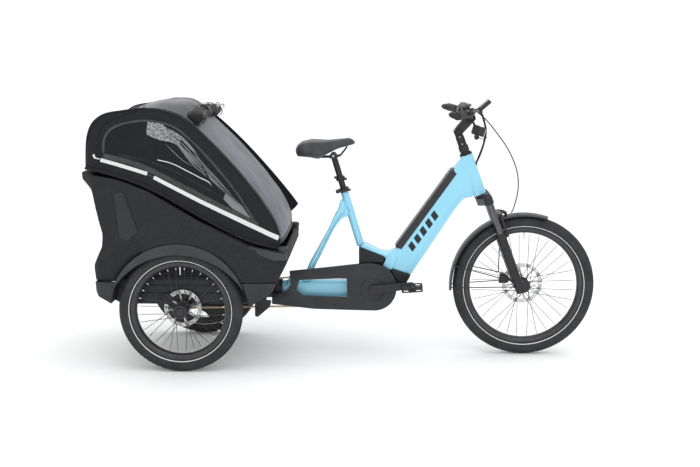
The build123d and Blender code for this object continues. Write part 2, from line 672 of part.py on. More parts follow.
def pedal(side):
    """Cage pedal on a centre barrel, level with the crank's end and slightly toe-up."""
    x, z = crank_end(side)
    body = Rectangle(92, 92)
    body -= Pos(27, 0) * Rectangle(26, 72)
    body -= Pos(-27, 0) * Rectangle(26, 72)
    cage = extrude(body, amount=10, both=True)
    cage += rod((0, -46, 0), (0, 46, 0), 11)
    for number in range(-2, 3):
        for edge in (-43, 43):
            cage += Pos(edge, 16 * number, 11) * Cylinder(2, 5)
    cage -= rod((0, -60, 0), (0, 60, 0), PEDAL_AXLE_R + RUNNING_FIT)
    return Pos(x, 146 * side, z) * Rot(0, 8, 0) * cage


# ---- steering, in the fork's own frame ----------------------------------------------
def fork_upper():
    """Steerer, crown, stanchions and headset caps."""
    shape = rod((AXIS_X, 0, 404), (AXIS_X, 0, 702), STEERER_R)
    feet = Pos(AXIS_X, 0) * Circle(27)
    for side in (-1, 1):
        feet += Pos(LEG_X, side * LEG_Y) * Circle(21)
    shape += extrude(Plane.XY.offset(404) * make_hull(feet.edges()), amount=34)
    shape += rod((AXIS_X, 0, 438), (AXIS_X, 0, HEAD_LOW - SIDE_GAP), 27)
    for side in (-1, 1):
        shape += rod((LEG_X, side * LEG_Y, 175), (LEG_X, side * LEG_Y, 446), STANCHION_R)
        shape += rod((LEG_X, side * LEG_Y, 438), (LEG_X, side * LEG_Y, 452), 14)
    shape += rod((AXIS_X, 0, HEAD_HIGH + SIDE_GAP), (AXIS_X, 0, 647), 25)
    return FORK * shape


def fork_lower():
    """Lower legs, arch and dropouts, with the wheel's axle."""
    shape = rod((0, -84, 0), (0, 84, 0), FRONT_AXLE_R)
    for side in (-1, 1):
        y = side * LEG_Y
        shape += rod((LEG_X, y, -14), (LEG_X, y, 258), 21)
        shape += rod((0, y - 9, 0), (0, y + 9, 0), 15)
        shape += Pos(LEG_X / 2, y, 0) * Box(24, 18, 26)
        shape += rod((LEG_X, y, 246), (LEG_X, y, 262), 23)
        shape += Pos(7, y - side * 5, 291) * Box(12, 14, 102)
        shape -= rod((LEG_X, y, 40), (LEG_X, y, 300), STANCHION_R + RUNNING_FIT)
    arch = Circle(349) - Circle(335)
    arch = extrude(Plane.XZ.offset(-73) * arch, amount=146, dir=(0, -1, 0))
    shape += arch & block((0, 16), (-70, 70), (300, 380))
    return FORK * shape


def front_fender():
    """Curved guard over the tyre, with two pairs of stays."""
    inner = FRONT_TYRE_R + 12
    ring = Circle(inner + 3) - Circle(inner)
    wedge = outline([(0, 0), (165, 520), (-520, 520), (-520, -52)])
    guard = extrude(Plane.XZ.offset(-36) * (ring & wedge), amount=72, dir=(0, -1, 0))
    lips = Circle(inner + 3) - Circle(inner - 7)
    edge = extrude(Plane.XZ.offset(-38) * (lips & wedge), amount=3, dir=(0, -1, 0))
    guard = Pos(WHEELBASE, 0, FRONT_TYRE_R) * (guard + both_sides(edge))
    for angle in (163, 181):
        reach = math.radians(angle)
        far_x = WHEELBASE + (inner - 1) * math.cos(reach)
        far = (far_x, -37, FRONT_TYRE_R + (inner - 1) * math.sin(reach))
        near = FORK * Pos(LEG_X - 21, -78, 50 + (163 - angle) * 1.5)
        guard += both_sides(rod(far, tuple(near.position), 2.5))
    return guard


def front_calliper():
    """A four-piston calliper over the front rotor, behind the left leg."""
    corners = [polar(106, 160), polar(108, 132), polar(62, 134), polar(62, 158)]
    body = side_plate(corners, 29, 60, 6)
    return FORK * (body - rod((0, 36.5, 0), (0, 41.5, 0), 92))


def hose(points, radius):
    """A flexible line: each arc as large as its two runs allow."""
    points = [Vector(*point) for point in points]
    bends = []
    for before, point, after in zip(points, points[1:], points[2:]):
        shorter = min((point - before).length, (after - point).length)
        turn = math.radians((point - before).get_angle(after - point))
        bends.append(0.45 * shorter / math.tan(turn / 2))
    return pipe(points, bends, radius)


def brake_hose():
    """Front brake hose: master cylinder, a free loop ahead of the head tube, and the calliper."""
    return hose([(1229, 128, 1083), (1240, 106, 1080), (1278, 90, 1062), (1340, 80, 1000),
                 (1402, 80, 905), (1442, 84, 800), (1444, 92, 690), (1420, 97, 585), (1398, 97, 490),
                 (1380, 84, 420), (1370, 56, 385), (1366, 45, 362)], 2.6)


def cable_bundle():
    """Control cables from the display to the head tube's front port."""
    return hose([(1290, 8, 1064), (1318, 6, 1018), (1316, 3, 956), (1288, 0, 904), (1245, 0, 868)], 4.5)


def stem_riser():
    """Height-adjustable tube on the steerer, with the stem's pivot knuckle."""
    shape = rod((AXIS_X, 0, 648), (AXIS_X, 0, 718), 19)
    shape += rod((AXIS_X, -13, STEM_PIVOT_UP), (AXIS_X, 13, STEM_PIVOT_UP), 17)
    shape += block((AXIS_X - 17, AXIS_X + 17), (-13, 13), (712, STEM_PIVOT_UP))
    shape += rod((AXIS_X, 0, 652), (AXIS_X, 0, 676), 22)
    shape -= rod((AXIS_X, 0, 640), (AXIS_X, 0, 706), STEERER_R + RUNNING_FIT)
    shape -= rod((AXIS_X, -40, STEM_PIVOT_UP), (AXIS_X, 40, STEM_PIVOT_UP), 5 + RUNNING_FIT)
    return FORK * shape


def stem_head():
    """Stem arm with pivot cheeks, pivot bolt and bar clamp."""
    ends = Pos(AXIS_X, STEM_PIVOT_UP) * Circle(18)
    ends += Pos(BAR_FORWARD, BAR_UP) * Circle(22)
    arm = make_hull(ends.edges())
    shape = extrude(Plane.XZ.offset(-25) * arm, amount=50, dir=(0, -1, 0))
    shape -= rod((AXIS_X, -13 - SIDE_GAP, STEM_PIVOT_UP), (AXIS_X, 13 + SIDE_GAP, STEM_PIVOT_UP), 32)
    shape += rod((AXIS_X, -28, STEM_PIVOT_UP), (AXIS_X, 28, STEM_PIVOT_UP), 5)
    shape -= rod((BAR_FORWARD, -40, BAR_UP), (BAR_FORWARD, 40, BAR_UP), BAR_CLAMP_R)
    return FORK * shape


BAR_POINTS = [(BAR_FORWARD, 0, BAR_UP), (BAR_FORWARD, 46, BAR_UP), (20, 104, 806), (-34, GRIP_END_Y, 833)]


def bar_frame(distance, side):
    """A plane on the straight outer part of the bar, its normal pointing outward."""
    bend, end = Vector(*BAR_POINTS[2]), Vector(*BAR_POINTS[3])
    along = (end - bend).normalized()
    origin = end - along * distance
    if side == RIGHT:
        origin = Vector(origin.X, -origin.Y, origin.Z)
        along = Vector(along.X, -along.Y, along.Z)
    return Plane(origin=origin, x_dir=(1, 0, 0), z_dir=along)


def handlebar():
    half = pipe(BAR_POINTS, [36, 60], BAR_R)
    sleeve = rod((BAR_FORWARD, -28, BAR_UP), (BAR_FORWARD, 28, BAR_UP), BAR_CLAMP_R)
    return FORK * (both_sides(half) + sleeve)


def grips():
    """Ergonomic grips: a round barrel and a flat wing behind it."""
    result = []
    for side in (RIGHT, LEFT):
        barrel = Circle(16.5) - Circle(BAR_R)
        grip = extrude(bar_frame(122, side) * barrel, amount=122)
        wing = extrude(bar_frame(52, side) * (Pos(-22, 0) * RectangleRounded(34, 13, 6)), amount=50)
        plug = extrude(bar_frame(0, side) * Circle(13), amount=4)
        cut = extrude(bar_frame(130, side) * Circle(16.4), amount=136)
        result.append(FORK * (grip + (wing - cut) + plug))
    return Compound(result)


def brake_masters():
    """Clamp, body and reservoir of each brake's master cylinder."""
    result = []
    for side in (RIGHT, LEFT):
        clamp = extrude(bar_frame(190, side) * (Circle(16) - Circle(BAR_R)), amount=16)
        body = extrude(bar_frame(196, side) * (Pos(32, -2) * RectangleRounded(22, 24, 5)), amount=52)
        result.append(FORK * (clamp + body))
    return Compound(result)


def brake_lever(side):
    """A one-finger blade hinged ahead of its master cylinder."""
    plane = bar_frame(150, side)
    turned = Plane(origin=plane.origin, x_dir=plane.x_dir, z_dir=plane.y_dir)
    sign = math.copysign(1, turned.y_dir.Y * side)
    points = [(45, -10 * sign), (56, -10 * sign), (62, 20 * sign), (54, 112 * sign), (60, 128 * sign),
              (50, 130 * sign), (45, 110 * sign), (50, 22 * sign)]
    blade = extrude(turned * outline(points, 3), amount=5, both=True)
    return FORK * blade


def twist_shifter():
    """Rubber shift barrel inboard of the right grip."""
    ring = Circle(17.5) - Circle(BAR_R + RUNNING_FIT)
    return FORK * extrude(bar_frame(122 + 36, RIGHT) * ring, amount=35.5)


def bell():
    """Dome on a clamp, left of the right brake."""
    plane = bar_frame(214, RIGHT)
    clamp = extrude(plane * (Circle(15) - Circle(BAR_R)), amount=12)
    dome = Sphere(24)
    dome &= Pos(0, 0, 12) * Box(60, 60, 24)
    dome -= Sphere(22) & (Pos(0, 0, 10) * Box(60, 60, 24))
    seat = plane.origin + Vector(-10, 4, 19)
    post = rod((seat.X, seat.Y + 3, seat.Z - 6), (seat.X, seat.Y + 3, seat.Z + 23), 3)
    return FORK * (clamp + (Pos(seat.X, seat.Y + 3, seat.Z) * dome) + post)


def bell_striker():
    plane = bar_frame(214, RIGHT)
    seat = plane.origin + Vector(-10, 7, 19)
    arm = rod((seat.X - 30, seat.Y, seat.Z + 4), (seat.X - 52, seat.Y, seat.Z - 2), 2.5)
    arm += Pos(seat.X - 30, seat.Y, seat.Z + 4) * Sphere(3.6)
    arm += Pos(seat.X - 54, seat.Y, seat.Z - 2) * Box(10, 12, 4)
    return FORK * arm


def display():
    """Display panel ahead of the bar on a curved bracket."""
    panel = Pos(104, 0, 812) * Rot(0, -52, 0) * Box(58, 84, 11)
    bracket = block((BAR_FORWARD + 18, 100), (-8, 8), (796, 806))
    clamp = rod((BAR_FORWARD, -42, BAR_UP), (BAR_FORWARD, -30, BAR_UP), 18, BAR_CLAMP_R - 4)
    return FORK * (panel + (bracket - panel))


def headlight():
    """Lamp under the bar, on a bracket from the stem's clamp."""
    lamp = fillet(Box(56, 44, 42).edges().filter_by(Axis.X), 10)
    lamp = Pos(1266, 0, 996) * lamp
    knob = rod((1258, -30, 992), (1258, -22, 992), 12)
    bracket = FORK * block((30, 38), (-10, 10), (728, 757))
    return lamp + knob + (bracket - lamp)


# ---- write the parts ----------------------------------------------------------------
def make_wheel_parts():
    """Both rear wheels and the front wheel, placed on their axles."""
    parts = {}
    for name, side in (("right", RIGHT), ("left", LEFT)):
        place = Pos(0, REAR_TRACK / 2 * side, REAR_TYRE_R)
        ends = sorted((26 * side, -36 * side))
        bore = REAR_AXLE_R + RUNNING_FIT
        wheel_hub = hub((-24 * side, 18 * side), 19, ends, bore, REAR_TYRE_R)
        cap = rod((0, 26 * side, 0), (0, 36 * side, 0), 34)
        dish = rod((0, 31 * side, 0), (0, 37 * side, 0), 24)
        wheel_hub = wheel_hub + (cap - dish)
        disc_y = sorted((-42 * side, -44 * side))
        parts["rear_tyre_" + name] = place * tyre(REAR_TYRE_R)
        parts["rear_rim_" + name] = place * rim(REAR_TYRE_R)
        parts["rear_hub_" + name] = place * wheel_hub
        parts["rear_rotor_" + name] = place * rotor(80, disc_y[0], disc_y[1], 19)
    place = Pos(WHEELBASE, 0, FRONT_TYRE_R)
    bore = FRONT_AXLE_R + RUNNING_FIT
    parts["front_tyre"] = place * tyre(FRONT_TYRE_R)
    parts["front_rim"] = place * rim(FRONT_TYRE_R)
    parts["front_hub"] = place * hub((-32, 28), 16, (-44.5, 44.5), bore, FRONT_TYRE_R)
    parts["front_rotor"] = place * rotor(90, 38, 40, 16)
    return parts


def make_parts():
    body = tapered_body()
    lips = arch_trims()
    upper, lower, rim_part = make_box(body, lips)
    cover, canopy_frame = make_canopy()
    tube = down_tube()
    big_tube = rear_tube()
    bike_motor = motor()
    parts = {
        "box_shell": upper,
        "box_lower_shell": lower,
        "box_rim": rim_part,
        "wheel_arches": lips,
        "child_seat": child_seat(),
        "harnesses": harnesses(),
        "tail_lights": tail_lights() - body,
        "canopy_cover": cover,
        "canopy_frame": canopy_frame,
        "chassis": chassis(),
        "tilt_housing": tilt_housing(),
        "drive_case": drive_case(),
        "rear_callipers": both_sides(rear_calliper()),
        "down_tube": tube,
        "seat_tube": seat_tube() - tube - bike_motor,
        "seat_stays": seat_stays() - big_tube,
        "rear_tube": big_tube,
        "motor": bike_motor - tube,
        "chain_case": chain_case(),
        "chain": chain(),
        "seat_clamp": seat_clamp(),
        "seat_clamp_lever": seat_clamp_lever(),
        "seat_post": seat_post(),
        "saddle": saddle(),
        "battery": battery_block(0, BATTERY_RISE, 6),
        "crankset": crankset(),
        "chainring": chainring(),
        "rear_sprocket": rear_sprocket(),
        "pedal_right": pedal(RIGHT),
        "pedal_left": pedal(LEFT),
        "fork_upper": fork_upper(),
        "fork_lower": fork_lower(),
        "front_fender": front_fender(),
        "front_calliper": front_calliper(),
        "brake_hose": brake_hose(),
        "cable_bundle": cable_bundle(),
        "stem_riser": stem_riser(),
        "stem_head": stem_head(),
        "handlebar": handlebar(),
        "grips": grips(),
        "brake_masters": brake_masters(),
        "brake_lever_right": brake_lever(RIGHT),
        "brake_lever_left": brake_lever(LEFT),
        "twist_shifter": twist_shifter(),
        "bell": bell(),
        "bell_striker": bell_striker(),
        "display": display(),
        "headlight": headlight(),
    }
    parts.update(make_wheel_parts())
    return parts


def main():
    os.makedirs("parts", exist_ok=True)
    for name, part in make_parts().items():
        placed = Pos(-MIDDLE_X, 0, 0) * part
        export_step(placed, "parts/" + name + ".step")


main()
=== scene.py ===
import json
import math
import random

import bmesh
import bpy
import numpy as np
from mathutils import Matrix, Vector, noise
from mathutils.bvhtree import BVHTree
from mathutils.geometry import tessellate_polygon

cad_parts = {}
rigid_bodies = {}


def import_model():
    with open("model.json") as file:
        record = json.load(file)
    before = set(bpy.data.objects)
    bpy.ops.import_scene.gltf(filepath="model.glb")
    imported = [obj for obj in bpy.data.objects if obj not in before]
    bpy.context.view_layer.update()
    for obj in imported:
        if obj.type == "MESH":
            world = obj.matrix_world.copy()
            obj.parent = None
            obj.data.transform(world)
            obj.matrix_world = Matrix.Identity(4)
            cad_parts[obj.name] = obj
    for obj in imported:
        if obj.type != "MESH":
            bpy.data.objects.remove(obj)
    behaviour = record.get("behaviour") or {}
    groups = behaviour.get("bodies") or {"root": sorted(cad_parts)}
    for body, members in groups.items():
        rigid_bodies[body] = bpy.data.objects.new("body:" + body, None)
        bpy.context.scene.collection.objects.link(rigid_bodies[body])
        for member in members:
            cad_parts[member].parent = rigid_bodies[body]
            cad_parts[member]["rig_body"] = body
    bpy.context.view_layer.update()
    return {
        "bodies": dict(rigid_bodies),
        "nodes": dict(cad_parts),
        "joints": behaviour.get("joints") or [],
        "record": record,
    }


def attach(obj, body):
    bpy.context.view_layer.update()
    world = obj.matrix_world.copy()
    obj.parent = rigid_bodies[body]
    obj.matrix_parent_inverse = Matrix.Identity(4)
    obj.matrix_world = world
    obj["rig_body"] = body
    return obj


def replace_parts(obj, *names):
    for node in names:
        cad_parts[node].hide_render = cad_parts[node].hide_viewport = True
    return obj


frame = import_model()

NODES = frame["nodes"]
JOINTS = {joint["name"]: joint for joint in frame["joints"]}
SLOT_OF = {part["node"]: part["material_slot"] for part in frame["record"]["subparts"]}

# ---- places -------------------------------------------------------------------------
MM = 0.001
RIGHT, LEFT = -1, 1
SIDES = (("right", RIGHT), ("left", LEFT))
AXLE_X = JOINTS["rear_wheel_right_spin"]["pos_m"][0]
FRONT_AXLE = Vector(JOINTS["front_wheel_spin"]["pos_m"])
STEER_UP = Vector(JOINTS["steer"]["axis"]).normalized()
STEER_FORWARD = Vector((STEER_UP.z, 0, -STEER_UP.x))
ACROSS = Vector((0, 1, 0))
REAR_RADIUS, FRONT_RADIUS = 262, 312
STEER_X = -43                   # the steering axis, in the fork's frame
LEG_X, LEG_Y = -21, 66          # a fork leg's middle, in the fork's frame


def at(x, y, z):
    """A point given in millimetres: x from the rear axle, y to the left, z from the floor."""
    return Vector((AXLE_X + x * MM, y * MM, z * MM))


def on_fork(x, y, z):
    """A point in millimetres from the front axle: z up along the steering axis, x ahead, square to it."""
    return FRONT_AXLE + STEER_FORWARD * (x * MM) + ACROSS * (y * MM) + STEER_UP * (z * MM)


def heading(turn):
    """The direction at an angle in the side view."""
    return Vector((math.cos(turn), 0, math.sin(turn)))


def turns(count):
    """Evenly spaced angles of a full turn."""
    return np.linspace(0, math.tau, count, endpoint=False)


# ---- materials ----------------------------------------------------------------------
class Look:
    """A Principled material with colour, roughness and relief from patterns in the piece's own space."""

    def __init__(self, name, colour, roughness=0.5, metallic=0.0, **settings):
        self.material = bpy.data.materials.new(name)
        self.material.use_nodes = True
        self.tree = self.material.node_tree
        self.shader = next(n for n in self.tree.nodes if n.type == "BSDF_PRINCIPLED")
        self.colour = (*colour, 1)
        self.roughness = roughness
        self.shader.inputs["Base Color"].default_value = self.colour
        self.shader.inputs["Roughness"].default_value = roughness
        self.shader.inputs["Metallic"].default_value = metallic
        for socket, value in settings.items():
            self.shader.inputs[socket.replace("_", " ")].default_value = value
        self.place = self.node("ShaderNodeTexCoord").outputs["Object"]
        self.normal = None

    def node(self, kind, inputs=None, **settings):
        made = self.tree.nodes.new(kind)
        for key, value in settings.items():
            setattr(made, key, value)
        for key, value in (inputs or {}).items():
            if isinstance(value, bpy.types.NodeSocket):
                self.tree.links.new(value, made.inputs[key])
            else:
                made.inputs[key].default_value = value
        return made

    def stretched(self, stretch):
        return self.node("ShaderNodeMapping", {"Vector": self.place, "Scale": stretch}).outputs[0]

    def noise(self, per_metre, detail=3.0, stretch=(1, 1, 1)):
        return self.node("ShaderNodeTexNoise", {"Vector": self.stretched(stretch), "Scale": per_metre,
                                                "Detail": detail}).outputs["Fac"]

    def cells(self, per_metre, stretch=(1, 1, 1)):
        return self.node("ShaderNodeTexVoronoi", {"Vector": self.stretched(stretch),
                                                  "Scale": per_metre}).outputs["Distance"]

    def bands(self, pitch, direction="X", distortion=0.0):
        """Sine bands across one axis, a pitch in millimetres apart."""
        return self.node("ShaderNodeTexWave", {"Vector": self.place, "Scale": math.pi / (10 * pitch * MM),
                                               "Distortion": distortion},
                         bands_direction=direction).outputs["Fac"]

    def calc(self, kind, first, second=0.5):
        return self.node("ShaderNodeMath", {0: first, 1: second}, operation=kind).outputs[0]

    def scaled(self, value, low, high):
        """A 0 to 1 pattern spread between two values."""
        return self.node("ShaderNodeMapRange", {"Value": value, "To Min": low, "To Max": high}).outputs[0]

    def tint(self, value, dark, light, low=0.3, high=0.7):
        """Colours the piece between two multiples of its own colour."""
        ramp = self.node("ShaderNodeValToRGB", {"Fac": value})
        for element, place, share in zip(ramp.color_ramp.elements, (low, high), (dark, light)):
            element.position = place
            element.color = (*[min(1, c * share) for c in self.colour[:3]], 1)
        self.tree.links.new(ramp.outputs[0], self.shader.inputs["Base Color"])
        return self

    def polish(self, value, low, high):
        self.tree.links.new(self.scaled(value, low, high), self.shader.inputs["Roughness"])
        return self

    def relief(self, height, depth, strength=1.0):
        """Adds a relief whose full depth is given in millimetres."""
        inputs = {"Height": height, "Distance": depth * MM, "Strength": strength}
        if self.normal:
            inputs["Normal"] = self.normal
        self.normal = self.node("ShaderNodeBump", inputs).outputs[0]
        self.tree.links.new(self.normal, self.shader.inputs["Normal"])
        return self


def moulded(name, colour, roughness=0.45, grain=700, depth=0.12):
    """Injection-moulded plastic: a fine spark-eroded grain and faint flow marks."""
    look = Look(name, colour, roughness, Specular_IOR_Level=0.35)
    look.tint(look.noise(9, 5), 0.8, 1.25)
    look.polish(look.noise(40, 4), roughness - 0.06, roughness + 0.08)
    look.relief(look.noise(grain, 2), depth, 0.5)
    return look.material


def foam():
    """Expanded polypropylene: fused beads a few millimetres across."""
    look = Look("expanded_foam", (0.015, 0.0155, 0.0175), 0.72, Specular_IOR_Level=0.3)
    beads = look.cells(260)
    look.tint(look.calc("ADD", look.scaled(beads, 0, 0.6), look.scaled(look.noise(60, 5), 0, 0.5)), 1.35,
              0.7)
    look.polish(look.noise(350, 2), 0.6, 0.85)
    look.relief(look.scaled(beads, 1, 0), 0.9, 0.6)
    look.relief(look.noise(900, 3), 0.3, 0.5)
    return look.material


def woven(name, colour, pitch=0.9, roughness=0.8, depth=0.25, sheen=0.25):
    """Plain-weave cloth: warp and weft ribs, with a little unevenness in both."""
    look = Look(name, colour, roughness, Specular_IOR_Level=0.25, Sheen_Weight=sheen, Sheen_Roughness=0.4)
    ribs = look.calc("ADD", look.bands(pitch, "X", 0.4), look.bands(pitch, "Z", 0.4))
    ribs = look.calc("ADD", ribs, look.bands(pitch, "Y", 0.4))
    look.tint(look.noise(28, 6), 0.7, 1.3)
    look.relief(look.scaled(ribs, 0, 0.4), depth, 0.5)
    look.relief(look.noise(14, 4), 2.5, 0.35)
    return look.material


def metal(name, colour, roughness=0.3, metallic=0.9, stretch=(1, 1, 1), grain=500):
    """Bare or coated metal with a drawn or brushed grain."""
    look = Look(name, colour, roughness, metallic)
    lines = look.noise(grain, 3, stretch)
    look.tint(look.noise(16, 4), 0.78, 1.2)
    look.polish(lines, roughness - 0.1, roughness + 0.12)
    look.relief(lines, 0.05, 0.3)
    return look.material


def paint():
    """Satin frame paint over fine metallic flakes, with a slight orange peel."""
    look = Look("frame_paint", (0.26, 0.60, 0.77), 0.34, 0.15, Coat_Weight=0.35, Coat_Roughness=0.22)
    flakes = look.cells(1600)
    cloud = look.scaled(look.noise(5, 2), 0.2, 0.6)
    look.tint(look.calc("ADD", look.scaled(flakes, 0, 0.25), cloud), 0.93, 1.07)
    look.polish(look.noise(120, 3), 0.3, 0.4)
    look.relief(look.noise(260, 1), 0.06, 0.3)
    return look.material


def rubber(name, colour, roughness=0.62, grain=420):
    look = Look(name, colour, roughness, Specular_IOR_Level=0.3)
    look.tint(look.noise(22, 6), 0.75, 1.35)
    look.polish(look.noise(60, 4), roughness - 0.08, roughness + 0.12)
    look.relief(look.noise(grain, 2), 0.12, 0.5)
    return look.material


def reflective_tape():
    """Retro-reflective tape: a fine diamond grid in pale silver."""
    look = Look("reflective_tape", (0.62, 0.64, 0.62), 0.32, 0.1)
    grid = look.calc("ADD", look.bands(2.4, "DIAGONAL"), look.bands(3.1, "Z"))
    look.tint(grid, 0.86, 1.1, 0.3, 1.2)
    look.relief(grid, 0.08, 0.4)
    return look.material


def window_film():
    """Tinted, slightly slack window film."""
    look = Look("window_film", (0.006, 0.0065, 0.008), 0.36, Specular_IOR_Level=0.22, Alpha=0.9)
    look.tint(look.noise(9, 5), 0.8, 1.3)
    look.polish(look.noise(14, 4), 0.24, 0.4)
    look.relief(look.noise(11, 3), 3.0, 0.4)
    return look.material


def front_film_painted_sheen():
    """Fine window mesh, pulled smooth, with a few soft buckles; its grey colour is painted sheen from the
    bright surroundings.
    """
    # painted sheen: the base colour is raised to stand for the bright surroundings reflected at a grazing
    # angle
    look = Look("front_film_painted_sheen", (0.105, 0.11, 0.13), 0.42, 0.25, Specular_IOR_Level=0.6, Alpha=0.93)
    weave = look.calc("ADD", look.bands(1.3, "Y"), look.bands(1.3, "Z"))
    look.tint(look.noise(3.5, 4), 0.72, 1.25)
    look.polish(look.noise(9, 4), 0.36, 0.52)
    look.relief(weave, 0.1, 0.3)
    look.relief(look.noise(7, 3), 4.0, 0.5)
    return look.material


def crumpled_film():
    """Clear film that has creased: its pale colour is a painted reflection, with painted highlights on the
    facets and painted shade in the creases.
    """
    look = Look("crumpled_film", (0.34, 0.35, 0.36), 0.22, Specular_IOR_Level=0.7)
    creases = look.cells(110, (1, 1, 1.6))
    # painted highlights on the facets, painted shade along the creases
    look.tint(creases, 1.25, 0.3, 0.1, 0.7)
    look.polish(look.noise(80, 3), 0.12, 0.4)
    look.relief(creases, 3.5, 0.8)
    return look.material


def lens(name, colour, roughness=0.1):
    """A clear or coloured moulded lens with a prism grid behind it."""
    look = Look(name, colour, roughness, Coat_Weight=0.6, Coat_Roughness=0.05)
    prisms = look.calc("MULTIPLY", look.bands(3.4, "Y"), look.bands(3.4, "Z"))
    look.tint(prisms, 0.6, 1.5, 0.1, 0.8)
    look.relief(prisms, 0.5, 0.6)
    return look.material


LOOKS = {
    "foam_body": foam(),
    "shell_plastic": moulded("shell_plastic", (0.022, 0.023, 0.026), 0.5, 520, 0.2),
    "arch_plastic": moulded("arch_plastic", (0.032, 0.033, 0.037), 0.42, 480, 0.16),
    "inset_plastic": moulded("inset_plastic", (0.016, 0.018, 0.023), 0.45, 600, 0.12),
    "canopy_fabric": woven("canopy_fabric", (0.006, 0.0065, 0.010), 1.1, 0.62, 0.3, 0.12),
    # roof cloth: shinier than the sides, and lighter in colour as painted sheen where light falls on the
    # roof top
    "roof_painted_sheen": woven("roof_painted_sheen", (0.036, 0.038, 0.047), 1.1, 0.5, 0.3, 0.4),
    # the hem is lighter than the cloth as painted reflection of the window film's lower edge
    "canopy_hem": woven("canopy_hem", (0.042, 0.045, 0.046), 1.3, 0.6, 0.3, 0.1),
    "front_film_painted_sheen": front_film_painted_sheen(),
    # pale strips of painted highlight along the window film's folds
    "film_fold_highlights": moulded("film_fold_highlights", (0.16, 0.165, 0.175), 0.3, 300, 0.4),
    "tube_marks": moulded("tube_marks", (0.010, 0.014, 0.018), 0.3, 900, 0.02),
    "canopy_edging": woven("canopy_edging", (0.008, 0.008, 0.009), 1.6, 0.7, 0.4, 0.1),
    "canopy_tube": metal("canopy_tube", (0.06, 0.06, 0.065), 0.42, 0.7, (1, 1, 8)),
    "frame_paint": paint(),
    "black_metal": metal("black_metal", (0.022, 0.022, 0.024), 0.42, 0.4, (4, 4, 1), 320),
    "motor_plastic": moulded("motor_plastic", (0.007, 0.008, 0.0095), 0.46, 820, 0.1),
    "case_plastic": moulded("case_plastic", (0.020, 0.022, 0.025), 0.4, 900, 0.08),
    "battery_plastic": moulded("battery_plastic", (0.022, 0.023, 0.026), 0.3, 1000, 0.05),
    "tyre_rubber": rubber("tyre_rubber", (0.024, 0.0245, 0.026), 0.66, 380),
    "tyre_stripe": reflective_tape(),
    "rim_black": metal("rim_black", (0.045, 0.045, 0.048), 0.34, 0.5, (1, 6, 1), 260),
    "hub_steel": metal("hub_metal", (0.035, 0.035, 0.038), 0.36, 0.6),
    "bright_steel": metal("bright_steel", (0.72, 0.72, 0.73), 0.22, 1.0, (1, 5, 1)),
    "spoke_steel": metal("spoke_steel", (0.06, 0.06, 0.063), 0.3, 0.9, (1, 1, 6)),
    "rotor_steel": metal("rotor_steel", (0.5, 0.5, 0.5), 0.24, 1.0, (1, 9, 1)),
    "chain_steel": metal("chain_steel", (0.34, 0.27, 0.19), 0.34, 0.95),
    "seat_fabric": woven("seat_fabric", (0.05, 0.051, 0.056), 1.8, 0.85, 0.5, 0.3),
    "webbing": woven("webbing", (0.02, 0.02, 0.022), 2.0, 0.75, 0.6, 0.2),
    "lamp_red": lens("lamp_red", (0.40, 0.015, 0.015)),
    "lamp_clear": lens("lamp_clear", (0.35, 0.36, 0.38), 0.06),
    "saddle_cover": rubber("saddle_cover", (0.046, 0.048, 0.053), 0.38, 900),
    "grip_rubber": rubber("grip_rubber", (0.022, 0.022, 0.023), 0.6, 700),
    "fork_metal": metal("fork_metal", (0.012, 0.012, 0.014), 0.3, 0.2),
    "stanchion": metal("stanchion", (0.12, 0.12, 0.125), 0.16, 1.0, (1, 1, 0.2)),
    "control_metal": metal("control_metal", (0.024, 0.024, 0.026), 0.38, 0.4),
    "display_glass": moulded("display_glass", (0.012, 0.013, 0.017), 0.14, 900, 0.02),
    "lamp_body": moulded("lamp_body", (0.022, 0.022, 0.024), 0.42, 900, 0.08),
    "fender_plastic": moulded("fender_plastic", (0.034, 0.036, 0.042), 0.24, 500, 0.05),
    "hose_rubber": rubber("hose_rubber", (0.014, 0.014, 0.015), 0.45, 900),
    "window_film": window_film(),
    "crumpled_film": crumpled_film(),
}


# ---- shapes -------------------------------------------------------------------------
def mesh_object(name, points, faces):
    mesh = bpy.data.meshes.new(name)
    mesh.from_pydata(points, [], faces)
    made = bpy.data.objects.new(name, mesh)
    bpy.context.scene.collection.objects.link(made)
    return made


